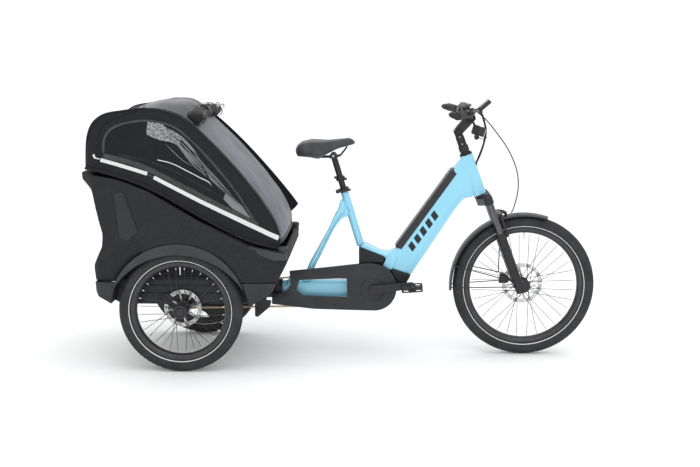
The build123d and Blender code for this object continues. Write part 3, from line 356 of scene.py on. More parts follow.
class Shape:
    """Points and faces gathered for one piece, in the frame's metres."""

    def __init__(self):
        self.points = []
        self.faces = []

    def add(self, points, faces):
        start = len(self.points)
        self.points += [Vector(point) for point in points]
        self.faces += [[start + corner for corner in face] for face in faces]
        return self

    def skin(self, rings, wrap=False, caps=True):
        """Faces between rings of equal size. wrap joins the last ring to the first."""
        size = len(rings[0])
        points = [point for ring in rings for point in ring]
        faces = []
        for row in range(len(rings) if wrap else len(rings) - 1):
            here, there = row * size, (row + 1) % len(rings) * size
            for corner in range(size):
                step = (corner + 1) % size
                faces.append([here + corner, here + step, there + step, there + corner])
        if caps and not wrap:
            faces.append(list(range(size))[::-1])
            faces.append(list(range(len(points) - size, len(points))))
        return self.add(points, faces)

    def sheet(self, rows):
        """An open grid of points."""
        size = len(rows[0])
        points = [point for row in rows for point in row]
        faces = []
        for row in range(len(rows) - 1):
            for column in range(size - 1):
                corner = row * size + column
                faces.append([corner, corner + 1, corner + size + 1, corner + size])
        return self.add(points, faces)

    def lathe(self, profile, centre, segments=96, closed=True, axis=ACROSS):
        """Turns a profile of (radius, along) millimetres about an axis through centre."""
        axis = Vector(axis).normalized()
        side = axis.orthogonal().normalized()
        other = axis.cross(side)
        rings = []
        for number in range(segments):
            turn = math.tau * number / segments
            outward = side * math.cos(turn) + other * math.sin(turn)
            rings.append([centre + outward * (r * MM) + axis * (y * MM) for r, y in profile])
        if closed:
            return self.skin(rings, wrap=True)
        size = len(profile)
        points = [point for ring in rings for point in ring]
        faces = []
        for row in range(segments):
            here, there = row * size, (row + 1) % segments * size
            for corner in range(size - 1):
                faces.append([here + corner, here + corner + 1, there + corner + 1, there + corner])
        return self.add(points, faces)

    def rod(self, start, end, radius, far_radius=None, sides=16):
        """A round bar between two points; radii in millimetres."""
        start, end = Vector(start), Vector(end)
        axis = (end - start).normalized()
        side = axis.orthogonal().normalized()
        other = axis.cross(side)
        far_radius = radius if far_radius is None else far_radius
        rings = []
        for middle, size in ((start, radius), (end, far_radius)):
            rings.append([middle + (side * math.cos(t) + other * math.sin(t)) * (size * MM)
                          for t in turns(sides)])
        return self.skin(rings)

    def tube(self, path, radii, sides=16, flat=1.0, up=None):
        """A tube along a path of points; flat squeezes its section along up."""
        path = [Vector(point) for point in path]
        if not hasattr(radii, "__len__"):
            radii = [radii] * len(path)
        side = None
        rings = []
        for number, point in enumerate(path):
            before, after = path[max(number - 1, 0)], path[min(number + 1, len(path) - 1)]
            axis = (after - before).normalized()
            if side is None:
                side = (up.cross(axis) if up else axis.orthogonal()).normalized()
            else:
                side = (side - axis * side.dot(axis)).normalized()
            other = axis.cross(side)
            rings.append([point + (side * math.cos(t) + other * (flat * math.sin(t))) * (radii[number] * MM)
                          for t in turns(sides)])
        return self.skin(rings)

    def plate(self, outline, low, high):
        """A side outline of (x, z) millimetres between two values of y."""
        rings = [[at(x, y, z) for x, z in outline] for y in (low, high)]
        return self.skin(rings)

    def block(self, x, y, z):
        return self.plate([(x[0], z[0]), (x[1], z[0]), (x[1], z[1]), (x[0], z[1])], *y)

    def piece(self, name, look, body, slot=None, edge=0.0, levels=0, smooth=38, thick=0.0):
        """The finished object, riding on its body."""
        made = mesh_object(name, self.points, self.faces)
        return finished(made, look, body, edge, levels, smooth, thick)


def finished(made, look, body, edge=0.0, levels=0, smooth=38, thick=0.0):
    made.data.materials.clear()
    made.data.materials.append(LOOKS[look])
    fix_normals(made.data)
    if thick:
        made.modifiers.new("thickness", "SOLIDIFY").thickness = thick * MM
    if edge:
        round_edges(made, edge)
    if levels:
        subdivision = made.modifiers.new("subdivision", "SUBSURF")
        subdivision.levels = subdivision.render_levels = levels
    if made.modifiers:
        settle(made)
    made.data.shade_smooth()
    made.data.set_sharp_from_angle(angle=math.radians(smooth))
    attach(made, body)
    return made


def fix_normals(mesh):
    work = bmesh.new()
    work.from_mesh(mesh)
    bmesh.ops.recalc_face_normals(work, faces=work.faces)
    work.to_mesh(mesh)
    work.free()


def round_edges(made, radius, angle=32):
    bevel = made.modifiers.new("edges", "BEVEL")
    bevel.width = radius * MM
    bevel.segments = 3
    bevel.limit_method = "ANGLE"
    bevel.angle_limit = math.radians(angle)
    bevel.use_clamp_overlap = True


def settle(made):
    """Replaces a piece's mesh by what its modifiers make of it."""
    graph = bpy.context.evaluated_depsgraph_get()
    mesh = bpy.data.meshes.new_from_object(made.evaluated_get(graph))
    made.modifiers.clear()
    made.data = mesh


def rounded(points, radii, steps=6):
    """A flat outline with its corners turned into arcs."""
    if not hasattr(radii, "__len__"):
        radii = [radii] * len(points)
    result = []
    for number, (corner, radius) in enumerate(zip(points, radii)):
        corner = Vector(corner)
        before = (Vector(points[number - 1]) - corner)
        after = (Vector(points[(number + 1) % len(points)]) - corner)
        turn = before.angle(after)
        reach = min(radius / math.tan(turn / 2), 0.48 * before.length, 0.48 * after.length)
        start, end = corner + before.normalized() * reach, corner + after.normalized() * reach
        for step in range(steps + 1):
            share = step / steps
            point = start * (1 - share) ** 2 + corner * (2 * share * (1 - share)) + end * share ** 2
            result.append((point.x, point.y))
    return result


def catmull_rom(a, b, c, d, t):
    """A point between b and c, at a share t of the way."""
    return 0.5 * (2 * b + (c - a) * t + (2 * a - 5 * b + 4 * c - d) * t ** 2
                  + (3 * b - a - 3 * c + d) * t ** 3)


def smooth_line(points, count):
    """Evenly spaced points on a Catmull-Rom curve through the given ones."""
    points = np.array([list(point) for point in points], float)
    padded = np.vstack([2 * points[0] - points[1], points, 2 * points[-1] - points[-2]])
    dense = []
    for a, b, c, d in zip(padded, padded[1:], padded[2:], padded[3:]):
        for t in np.linspace(0, 1, 24, endpoint=False):
            dense.append(catmull_rom(a, b, c, d, t))
    dense.append(points[-1])
    dense = np.array(dense)
    along = np.r_[0, np.cumsum(np.linalg.norm(np.diff(dense, axis=0), axis=1))]
    wanted = np.linspace(0, along[-1], count)
    return np.column_stack([np.interp(wanted, along, dense[:, axis]) for axis in range(dense.shape[1])])


def carry(name, look=None, edge=0.5):
    """A CAD node that stays: its material, and its edges rounded by a radius in millimetres."""
    node = NODES[name]
    for place in node.material_slots:
        place.link = "OBJECT"
        place.material = LOOKS[look or SLOT_OF[name]]
    weld = node.modifiers.new("weld", "WELD")
    weld.merge_threshold = 0.01 * MM
    if edge:
        round_edges(node, edge)
    node.modifiers.new("normals", "WEIGHTED_NORMAL")


def cad_copy(name, *nodes):
    """A new object with the meshes of CAD nodes, to be reshaped."""
    points, faces = [], []
    for node in nodes:
        start = len(points)
        mesh = NODES[node].data
        points += [vertex.co.copy() for vertex in mesh.vertices]
        faces += [[start + corner for corner in face.vertices] for face in mesh.polygons]
    return mesh_object(name, points, faces)


def soften(made, voxel, rounds, reshape=None):
    """Remeshes a shape evenly, rounds it off and settles it."""
    remesh = made.modifiers.new("remesh", "REMESH")
    remesh.mode = "VOXEL"
    remesh.voxel_size = voxel * MM
    settle(made)
    if reshape:
        reshape(made.data)
    relax = made.modifiers.new("relax", "SMOOTH")
    relax.factor = 0.5
    relax.iterations = rounds
    settle(made)
    return made


def softened(form, nodes, voxel, rounds, look, body, reshape=None):
    """A finished, rounded stand-in for CAD nodes that it then replaces."""
    made = soften(cad_copy(form, *nodes), voxel, rounds, reshape)
    finished(made, look, body, smooth=60)
    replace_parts(made, *nodes)
    return made


def coordinates(mesh):
    values = np.zeros(len(mesh.vertices) * 3)
    mesh.vertices.foreach_get("co", values)
    return values.reshape(-1, 3)


def set_coordinates(mesh, values):
    mesh.vertices.foreach_set("co", np.asarray(values, np.float32).ravel())
    mesh.update()


def in_millimetres(mesh):
    """A mesh's points in millimetres, x measured from the rear axle."""
    return (coordinates(mesh) - np.array([AXLE_X, 0, 0])) / MM


def set_millimetres(mesh, points):
    set_coordinates(mesh, points * MM + np.array([AXLE_X, 0, 0]))


def body_of(node):
    return NODES[node]["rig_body"]


def parts(shape):
    return shape.points, shape.faces


# ---- wheels -------------------------------------------------------------------------
TREAD_EDGE = math.radians(64)
TREAD_STEPS = 5                 # sections in one pitch of the tread
CASING_DEPTH = 30               # from the top of the tread to the middle of the tyre's section
SPOKES = 32


def casing(radius, angle, thickness=29.0):
    """A point on a tyre's section: radius from the axle, and distance from its middle plane."""
    return radius - CASING_DEPTH + thickness * math.cos(angle), thickness * math.sin(angle)


def tread_height(across, place):
    """How far the rubber stands out, 0 to 1: at a share of the half width, a place in the pitch."""
    if across > 1:
        return 0.35 if across < 1.25 and place % 1 < 0.5 else 0.1
    if 0.14 < across < 0.22 or 0.52 < across < 0.58:
        return 0.0
    sweep = (place + 0.9 * across) % 1
    return 0.0 if across > 0.2 and sweep < 0.2 else 1.0


def tyre(radius, centre, pitches):
    """Casing with a middle rib, swept tread blocks and ribbed shoulders."""
    angles = np.radians(np.linspace(-131, 131, 61))
    rings = []
    steps = pitches * TREAD_STEPS
    for number in range(steps):
        turn = math.tau * number / steps
        outward = heading(turn)
        ring = []
        for angle in angles:
            height = tread_height(abs(angle) / TREAD_EDGE, number / TREAD_STEPS)
            r, y = casing(radius, angle, 28.4 + 1.6 * height)
            ring.append(centre + outward * (r * MM) + ACROSS * (y * MM))
        for y in (19, -19):
            ring.append(centre + outward * ((radius - 55) * MM) + ACROSS * (y * MM))
        rings.append(ring)
    return Shape().skin(rings, wrap=True)


def tyre_stripes(radius, centre):
    """A thin reflective band moulded into each side wall."""
    shape = Shape()
    for side in (RIGHT, LEFT):
        outer = casing(radius, math.radians(119), 28.9)
        inner = casing(radius, math.radians(126), 28.9)
        band = [(outer[0], side * outer[1]), (inner[0], side * inner[1]),
                (inner[0], side * (inner[1] - 0.9)), (outer[0], side * (outer[1] - 0.9))]
        shape.lathe(band, centre, 160)
    return shape


def rim(seat, centre):
    """Double-walled rim: hooked edges, deep flanks and a well under the tyre."""
    flank = [(seat + 1.6, 21.4), (seat + 0.4, 22.4), (seat - 3, 22.2), (seat - 10, 21), (seat - 16, 16.5),
             (seat - 20.5, 9.5), (seat - 22, 3)]
    well = [(seat - 10.5, 0), (seat - 9, 12), (seat - 5, 17.5), (seat + 0.5, 18.8), (seat + 1.6, 20)]
    profile = flank + [(r, -y) for r, y in reversed(flank)]
    profile += [(r, -y) for r, y in reversed(well)] + well[1:]
    return Shape().lathe(profile, centre, 160)


def spoke_ends(number, inner, flanges, centre, lean):
    """Where a spoke leaves its nipple and where it hooks into its flange."""
    outer_turn = math.tau * (number + 0.5) / SPOKES + math.pi / 2
    inner_turn = outer_turn + math.radians(lean if number % 4 < 2 else -lean)
    out, hook = heading(outer_turn), heading(inner_turn)
    side = 1 if number % 2 else -1
    return (out, centre + out * ((inner - 8) * MM) + ACROSS * (side * 1.5 * MM),
            centre + hook * (25 * MM) + ACROSS * (flanges[number % 2] * MM))


def lacing(inner, flanges, centre, lean=52):
    """Spokes, and the bright nipples they end in."""
    spokes, nipples = Shape(), Shape()
    for number in range(SPOKES):
        out, nipple, hook = spoke_ends(number, inner, flanges, centre, lean)
        spokes.rod(nipple, hook, 1.25, sides=8)
        spokes.rod(hook - ACROSS * (2.6 * MM), hook + ACROSS * (2.6 * MM), 2.1, sides=8)
        nipples.rod(nipple + out * (5 * MM), nipple - out * (3 * MM), 2.4, 1.7, sides=10)
    return spokes, nipples


def valve(inner, centre):
    """Presta valve at the top of the rim, with its lock ring and cap."""
    top = centre + Vector((0, 0, (inner + 1) * MM))
    down = Vector((0, 0, -MM))
    shape = Shape().rod(top, top + down * 22, 3.0, sides=16)
    shape.rod(top + down * 1, top + down * 4, 5.0, sides=16)
    shape.rod(top + down * 22, top + down * 34, 3.4, 2.2, sides=16)
    return shape


REAR_HUB = [(10.2, -36), (14, -36), (17, -35), (20, -33), (20, -29), (15, -28.4), (28.5, -25.8), (29.5, -24),
            (28.5, -22.2), (16, -20), (14.5, -4), (16, 12), (28.5, 16.2), (29.5, 18), (28.5, 19.8), (17, 22),
            (17.5, 26), (27, 26.6), (30, 28), (30.4, 31), (29, 33.8), (25, 35.4), (20, 35.6), (18.5, 34),
            (10.2, 33.6)]
FRONT_HUB = [(7.7, -44.4), (11, -44.4), (13, -43), (13.4, -38), (15, -36.5), (28.5, -33.6), (29.5, -32),
             (28.5, -30.4), (15, -28), (12.5, -14), (12.5, 10), (15, 24), (28.5, 26.4), (29.5, 28),
             (28.5, 29.6), (19, 32), (19, 37.4), (13, 37.8), (13, 41), (11, 44.4), (7.7, 44.4)]


def make_wheel(label, radius, centre, axis, hub_profile, flanges, body, nodes):
    seat = radius - 54
    pitches = round(math.tau * radius / 21)
    well = seat - 22
    rubber_piece = tyre(radius, centre, pitches).piece(label + "_tyre_tread", "tyre_rubber", body)
    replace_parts(rubber_piece, nodes[0])
    tyre_stripes(radius, centre).piece(label + "_tyre_stripes", "tyre_stripe", body, "tyre_rubber")
    rim_piece = rim(seat, centre).piece(label + "_rim_hoop", "rim_black", body)
    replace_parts(rim_piece, nodes[1])
    hub = Shape().lathe(hub_profile, centre, 64, axis=axis)
    hub_piece = hub.piece(label + "_hub_shell", "hub_steel", body)
    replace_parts(hub_piece, nodes[2])
    spokes, nipples = lacing(well, flanges, centre)
    spokes.piece(label + "_spokes", "spoke_steel", body, "hub_steel")
    nipples.piece(label + "_nipples", "bright_steel", body, "hub_steel")
    valve(well, centre).piece(label + "_valve", "bright_steel", body, "hub_steel")


def make_wheels():
    for name, side in SIDES:
        centre = Vector(JOINTS[f"rear_wheel_{name}_spin"]["pos_m"])
        nodes = [f"rear_{part}_{name}" for part in ("tyre", "rim", "hub")]
        body = "rear_wheel_" + name
        flanges = (24 * -side, 18 * side)
        make_wheel("rear_" + name, REAR_RADIUS, centre, ACROSS * side, REAR_HUB, flanges, body, nodes)
        cap = [(0.1, 33.6), (13, 33.6), (16, 35), (16, 37), (13, 38.4), (5, 38.8), (0.1, 38.8)]
        hub_cap = Shape().lathe(cap, centre, 48, axis=ACROSS * side)
        hub_cap.piece(f"rear_{name}_hub_cap", "hub_steel", body, "hub_steel")
    make_wheel("front", FRONT_RADIUS, FRONT_AXLE, ACROSS, FRONT_HUB, (-32, 28), "front_wheel",
               ["front_tyre", "front_rim", "front_hub"])


make_wheels()

# ---- the box ------------------------------------------------------------------------
PANEL = [(-268, 768), (-226, 770), (-160, 598), (-207, 562), (-242, 572)]
CREASE = ((-186, 562), (-340, 466))


def inside(outline, x, z):
    """Which of many points lie inside a closed side outline."""
    result = np.zeros(len(x), bool)
    for (ax, az), (bx, bz) in zip(outline, outline[1:] + outline[:1]):
        crosses = (az > z) != (bz > z)
        with np.errstate(divide="ignore", invalid="ignore"):
            result ^= crosses & (x < (bx - ax) * (z - az) / (bz - az) + ax)
    return result


def edge_distance(outline, x, z, closed=True):
    """The distance of many points from an outline's edges."""
    best = np.full(len(x), 1e9)
    for (ax, az), (bx, bz) in zip(outline, outline[1:] + outline[:1] if closed else outline[1:]):
        length = (bx - ax) ** 2 + (bz - az) ** 2
        t = np.clip(((x - ax) * (bx - ax) + (z - az) * (bz - az)) / length, 0, 1)
        best = np.minimum(best, np.hypot(x - ax - t * (bx - ax), z - az - t * (bz - az)))
    return best


def dent_shell(mesh):
    """Sinks the side panels' seats and the facets behind the creases into the foam."""
    points = in_millimetres(mesh)
    x, y, z = points.T
    outer = np.abs(y) > 300
    sink = np.zeros(len(x))
    seat = inside(PANEL, x, z)
    sink[seat] = np.minimum(edge_distance(PANEL, x, z)[seat] / 4, 1) * 3.0
    (ax, az), (bx, bz) = CREASE
    length = math.hypot(bx - ax, bz - az)
    behind = ((x - ax) * (bz - az) - (z - az) * (bx - ax)) / length
    facet = (behind < 0) & (z < 562) & (x < -150)
    sink[facet] = np.maximum(sink[facet], np.minimum(3 - behind[facet] * 0.2, 20))
    sink *= outer
    points[:, 1] -= np.sign(y) * sink
    stretch_back(points)
    set_millimetres(mesh, points)


def stretch_back(points):
    """Fills out the rounded rear end by a few millimetres."""
    points[:, 0] -= 9 * np.clip((-210 - points[:, 0]) / 110, 0, 1)


def fill_rear(mesh):
    points = in_millimetres(mesh)
    stretch_back(points)
    set_millimetres(mesh, points)


def surface_tree(made):
    """A tree for casting rays at a piece."""
    vertices = [vertex.co for vertex in made.data.vertices]
    return BVHTree.FromPolygons(vertices, [list(face.vertices) for face in made.data.polygons])


def side_point(tree, side, x, z, lift=0.0):
    """The point where a side view's (x, z) meets a surface, from the right or the left, lifted off it."""
    start = at(x, side * 600, z)
    hit, normal, _, _ = tree.ray_cast(start, ACROSS * -side)
    if hit is None:
        hit, normal, _, _ = tree.find_nearest(at(x, side * 330, z))
    if normal.y * side < 0:
        normal = -normal
    return hit + normal * (lift * MM)


def side_patch(tree, side, outline, lift, thick, columns=14):
    """A thin plate over a convex side outline, following the surface below it."""
    middle = np.mean(outline, axis=0)
    size = len(outline)
    shape = Shape()
    rows = [[tuple(middle + (np.array(point) - middle) * share) for point in outline]
            for share in np.linspace(0, 1, columns)]
    for level, flip in ((lift, False), (lift - thick, True)):
        points = [side_point(tree, side, x, z, level) for x, z in [tuple(middle)] + sum(rows[1:], [])]
        faces = []
        for corner in range(size):
            step = (corner + 1) % size
            faces.append([0, 1 + corner, 1 + step])
            for row in range(columns - 2):
                a, b = 1 + row * size, 1 + (row + 1) * size
                faces.append([a + corner, b + corner, b + step, a + step])
        shape.add(points, [face[::-1] for face in faces] if flip else faces)
    last = 1 + (columns - 2) * size
    low = len(shape.points) // 2
    for corner in range(size):
        step = (corner + 1) % size
        shape.faces.append([last + corner, low + last + corner, low + last + step, last + step])
    return shape


def shrunk(outline, amount):
    """A convex outline pulled in towards its middle."""
    middle = np.mean(outline, axis=0)
    result = []
    for point in outline:
        away = np.array(point) - middle
        result.append(tuple(middle + away * (1 - amount / np.linalg.norm(away))))
    return result


def sockets():
    """Accessory sockets in the front corners of the rim, each on a moulded pod."""
    shape = Shape()
    for side in (RIGHT, LEFT):
        centre = at(432, side * 324, 500)
        profile = [(10.6, 0), (10.6, 35), (12, 37), (19, 37), (21.5, 34), (22, 28), (19.5, 18), (18.6, 0)]
        shape.lathe(profile, centre, 48, axis=(0, 0, 1))
        arm = [(292, 545), (330, 535), (400, 519), (448, 512), (450, 486), (400, 484), (350, 502),
               (296, 530)]
        shape.plate(rounded(arm, 7, 3), *sorted((side * 326, side * 359)))
    return shape


def make_box():
    shell = softened("foam_shell", ("box_shell", "box_rim"), 5.5, 5, "foam_body", "rear_module",
                     reshape=dent_shell)
    tree = surface_tree(shell)
    panel = rounded(shrunk(PANEL, 5), 9)
    for name, side in SIDES:
        patch = side_patch(tree, side, panel, 2.2, 3.0)
        patch.piece("side_panel_" + name, "inset_plastic", "rear_module", "shell_plastic", smooth=30)
    sockets().piece("rim_sockets", "arch_plastic", "rear_module", "shell_plastic", edge=1.2)
    softened("arch_lips", ("wheel_arches",), 4, 5, "arch_plastic", "rear_module")
    softened("lower_tray", ("box_lower_shell",), 5.5, 4, "shell_plastic", "rear_module", reshape=fill_rear)
    ribs = Shape()
    for side in (RIGHT, LEFT):
        wall = sorted((side * 252, side * 262))
        for z in (390, 356, 322):
            ribs.block((-190, 196), wall, (z - 3, z + 3))
    ribs.piece("well_ribs", "shell_plastic", "rear_module", edge=1.5)


make_box()

# ---- the canopy ---------------------------------------------------------------------
# Stations from the rear foot over the roof to the front foot: the side seam, the foot
# on the box's rim, and the ridge in the middle plane (y is 0 there).
STATIONS = [
    ((-385, 296, 868), (-385, 306, 862), (-393, 866)), ((-382, 299, 925), (-371, 312, 861), (-393, 925)),
    ((-376, 299, 987), (-350, 318, 857), (-389, 990)), ((-359, 297, 1037), (-322, 321, 851), (-377, 1044)),
    ((-330, 295, 1069), (-290, 322, 842), (-345, 1040)), ((-290, 293, 1088), (-250, 323, 831), (-294, 1048)),
    ((-215, 292, 1100), (-190, 323, 811), (-238, 1060)), ((-150, 291, 1108), (-135, 323, 789), (-186, 1108)),
    ((-100, 290, 1104), (-90, 323, 767), (-98, 1128)), ((-50, 290, 1095), (-45, 323, 743), (-46, 1132)),
    ((15, 291, 1069), (10, 323, 711), (30, 1119)), ((89, 296, 1014), (84, 323, 667), (101, 1036)),
    ((200, 300, 902), (190, 323, 609), (214, 916)), ((303, 303, 779), (285, 323, 565), (320, 793)),
    ((378, 306, 672), (358, 322, 543), (396, 686)), ((413, 308, 598), (400, 318, 532), (429, 605)),
    ((418, 308, 545), (414, 314, 529), (432, 548)),
]
SEAM, FOOT, RIDGE = 0, 1, 2
ROOF_END = 10.8                 # station where the front window begins
WINDOW_END = 15.7               # and where it ends
FLAP_START, FLAP_END = 10.7, 15.1
ROLL_X = 70
HINGE_HALF = 0.240              # half the hinge tube's length, in metres
SIDE_WINDOW = [(-306, 927), (-303, 975), (-284, 1014), (-245, 1038), (-180, 1054), (-110, 1056), (-20, 1034),
               (60, 973), (150, 878), (240, 765), (300, 670), (318, 641), (223, 694), (89, 763), (-67, 843),
               (-172, 890)]


def station(line, place):
    """A point on one of the canopy's long lines, at a place between stations."""
    rows = [row[line] for row in STATIONS]
    if line == RIDGE:
        rows = [(x, 0, z) for x, z in rows]
    number = min(int(place), len(rows) - 2)
    t = place - number
    b, c = np.array(rows[number], float), np.array(rows[number + 1], float)
    a = np.array(rows[number - 1], float) if number else 2 * b - c
    d = np.array(rows[number + 2], float) if number + 2 < len(rows) else 2 * c - b
    return catmull_rom(a, b, c, d, t)


def slack(point, size, reach):
    """Soft creases in the cloth: noise in millimetres, at a scale of so many millimetres."""
    return noise.noise(Vector(point) / reach) * size


def side_cloth(place, share, side, lift=0.0):
    """A point on the side panel: share 0 at the foot, 1 at the seam."""
    foot, seam = station(FOOT, place), station(SEAM, place)
    point = foot + (seam - foot) * share
    bow = 5 * math.sin(math.pi * share)
    pull = slack((point[0], side * 40, point[2] * 1.6), 3.2, 60)
    pull += slack((point[0], side * 90, point[2]), 1.2, 22)
    point[1] += bow + pull * math.sin(math.pi * share) + lift
    return at(point[0], side * point[1], point[2])


def top_cloth(place, across, lift=0.0):
    """A point on the roof and front: across -1 at the right seam, 1 at the left one."""
    seam, ridge = station(SEAM, place), station(RIDGE, place)
    sharp = np.interp(place, (0, 4, 6, 11, 12), (4, 4, 2.4, 2.4, 3.6))
    drop = abs(across) ** sharp
    outward = np.array([ridge[0] - seam[0], 0, ridge[2] - seam[2]])
    outward /= max(np.linalg.norm(outward), 1e-6)
    point = ridge + (seam - ridge) * drop
    point[1] = seam[1] * across
    fold = 8 if 5.5 < place < ROOF_END else 2.5
    wrinkle = slack((point[0] * 0.5, point[1], point[2]), fold, 70)
    wrinkle += slack((point[0], point[1] * 0.4, 7), 1.5, 24)
    point += outward * (wrinkle * (1 - across ** 4) + lift)
    return at(*point)


def cloth_rows(start, end, low, high, columns, maker, per_station=9):
    rows = []
    for place in np.linspace(start, end, max(2, round((end - start) * per_station))):
        rows.append([maker(place, share) for share in np.linspace(low, high, columns)])
    return rows


def keep_faces(mesh, wanted):
    """Drops the faces whose middles aren't wanted, and the points left over."""
    work = bmesh.new()
    work.from_mesh(mesh)
    work.faces.ensure_lookup_table()
    gone = [face for face, keep in zip(work.faces, wanted) if not keep]
    bmesh.ops.delete(work, geom=gone, context="FACES")
    work.to_mesh(mesh)
    work.free()


def merge_points(made, distance=0.05):
    work = bmesh.new()
    work.from_mesh(made.data)
    bmesh.ops.remove_doubles(work, verts=work.verts, dist=distance * MM)
    work.to_mesh(made.data)
    work.free()


def middles(mesh):
    """The faces' middles in millimetres from the rear axle."""
    return np.array([[(face.center.x - AXLE_X) / MM, face.center.y / MM, face.center.z / MM]
                     for face in mesh.polygons])


def make_cloth():
    """One cover: side panels, roof and the hem round the front window."""
    last = len(STATIONS) - 1
    shape = Shape()
    for side in (RIGHT, LEFT):
        shape.sheet(cloth_rows(0, last, 0, 1, 26, lambda p, s: side_cloth(p, s, side)))
        shape.sheet(cloth_rows(ROOF_END, last, 0.93 * side, side, 4, top_cloth))
    shape.sheet(cloth_rows(0, ROOF_END, -1, 1, 61, top_cloth))
    shape.sheet(cloth_rows(WINDOW_END, last, -0.93, 0.93, 41, top_cloth))
    made = mesh_object("canopy_cloth", shape.points, shape.faces)
    x, y, z = middles(made.data).T
    hole = inside(SIDE_WINDOW, x, z) & (edge_distance(SIDE_WINDOW, x, z) > 4) & (np.abs(y) > 285)
    keep_faces(made.data, ~hole)
    merge_points(made)
    finished(made, "canopy_fabric", "canopy", smooth=50, thick=1.4)
    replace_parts(made, "canopy_cover", "canopy_frame")
    return made


def side_tree():
    """The side panels without their window openings, for laying trims on."""
    shape = Shape()
    for side in (RIGHT, LEFT):
        shape.sheet(cloth_rows(0, len(STATIONS) - 1, 0, 1, 26, lambda p, s: side_cloth(p, s, side)))
    return BVHTree.FromPolygons(shape.points, shape.faces)


def ribbon(tree, side, line, widths, lift, thick, count=90, crown=0.0):
    """A flat band along a side-view line, lying on the cloth."""
    spine = smooth_line(line, count)
    if not hasattr(widths, "__len__"):
        widths = [widths] * 2
    width = np.interp(np.linspace(0, 1, count), np.linspace(0, 1, len(widths)), widths)
    rings = []
    for number, (x, z) in enumerate(spine):
        ahead = spine[min(number + 1, count - 1)] - spine[max(number - 1, 0)]
        ahead /= np.linalg.norm(ahead)
        normal = np.array([-ahead[1], ahead[0]])
        ring = []
        for level in (lift, lift - thick):
            row = []
            for share in (-0.5, -0.25, 0, 0.25, 0.5):
                dx, dz = normal * share * width[number]
                rise = crown * (1 - (2 * share) ** 2) if level == lift else 0
                row.append(side_point(tree, side, x + dx, z + dz, level + rise))
            ring += row if level == lift else row[::-1]
        rings.append(ring)
    return Shape().skin(rings)


def film_bundle(tree, side):
    """Slack window film: a crumpled end under the roof, pale with painted reflection, that gathers into thin
    folds drawn as pale strips of painted highlight.
    """
    shape, folds = Shape(), Shape()
    top = [(-122, 1052), (-98, 1057), (-66, 1047), (-40, 1024), (-10, 1012), (14, 986)]
    low = [(-128, 1003), (-98, 988), (-64, 977), (-34, 972), (-8, 962), (8, 948)]
    rows = []
    upper, lower = smooth_line(top, 60), smooth_line(low, 60)
    for number in range(60):
        row = []
        for share in np.linspace(0, 1, 24):
            x, z = upper[number] + (lower[number] - upper[number]) * share
            bump = abs(noise.noise(Vector((x / 7, z / 7, side * 5)))) * 6 * math.sin(math.pi * share) ** 0.5
            row.append(side_point(tree, side, x, z, 1.0 + bump))
        rows.append(row)
    shape.sheet(rows)
    draw = random.Random(7)
    for number in range(13):
        share = number / 12
        start = (draw.uniform(-60, -10), 1034 - 66 * share + draw.uniform(-4, 4))
        waist = (96 - 26 * share, 900 - 34 * share)
        middle = ((start[0] + waist[0]) / 2 + 6, (start[1] + waist[1]) / 2 + 14 * (1 - 2 * share))
        if number % 3:
            end = (180 + 100 * (1 - share), 775 - 85 * (1 - share) + draw.uniform(-6, 6))
            line = [start, middle, waist, ((waist[0] + end[0]) / 2, (waist[1] + end[1]) / 2 + 4), end]
        else:
            line = [start, middle, waist]
        fold = ribbon(tree, side, line, [0.8, draw.uniform(3, 6), draw.uniform(1.6, 3.2),
                                         draw.uniform(2, 5), 0.6],
                      2.2, 1.2, 90, draw.uniform(0.5, 2))
        folds.add(*parts(fold))
    # a pale patch of painted highlight where the folds end
    foot = [(196, 760), (228, 742), (262, 712), (292, 668), (300, 655), (268, 672), (222, 700), (188, 736)]
    folds.add(*parts(side_patch(tree, side, foot, 1.4, 0.8, 8)))
    return shape, folds


def painted_crease_shade(tree, side):
    """Dark bands of painted shade laid along the window's creases that cross the film."""
    shape = Shape()
    for line, width in (([(91, 896), (117, 842), (143, 792), (169, 742), (198, 706)], 8),
                        ([(120, 850), (170, 800), (230, 742), (276, 700)], 3.5),
                        ([(-30, 1006), (30, 960), (92, 905)], 2.6)):
        shape.add(*parts(ribbon(tree, side, line, [1, width, width, 1], 3.4, 1.4, 70, 0.8)))
    return shape


def roll_height(y):
    """The height of the roll's middle across the roof."""
    return 1058 + 26 * (1 - (y / 290) ** 2)


def roll(thick=24):
    """The rolled front cover across the roof's front edge, with uneven turns."""
    rings = []
    for y in np.linspace(-268, 268, 91):
        centre = np.array([ROLL_X + slack((y, 3, 0), 6, 60), roll_height(y) + slack((y, 9, 0), 6, 50)])
        ring = []
        for turn in turns(40):
            uneven = 0.16 * noise.noise(Vector((y / 26, turn * 1.6, 4)))
            fold = 1 + 0.10 * math.sin(3 * turn + y / 40) + uneven
            end = 0.55 if abs(y) > 266 else 1
            reach = thick * fold * end
            ring.append(at(centre[0] + 1.35 * reach * math.cos(turn), y,
                           centre[1] + 0.95 * reach * math.sin(turn)))
        rings.append(ring)
    return Shape().skin(rings)


def roll_straps():
    straps, buckles = Shape(), Shape()
    for y in (-236, -90, 90, 236):
        middle = roll_height(y)
        rings = []
        for turn in turns(40):
            ring = []
            for reach, dy in ((30, -9), (32, -9), (32, 9), (30, 9)):
                ring.append(at(ROLL_X + 1.3 * reach * math.cos(turn), y + dy,
                               middle + 0.98 * reach * math.sin(turn)))
            rings.append(ring)
        straps.skin(rings, wrap=True)
        buckles.block((98, 105), (y - 12, y + 12), (middle + 4, middle + 20))
        hook = [(100, -5, 16), (106, -5, 26), (114, 0, 30), (119, 5, 24), (116, 6, 14)]
        buckles.tube(smooth_line([at(x, y + across, middle + up) for x, across, up in hook], 20), 2.2, 8)
    return straps, buckles


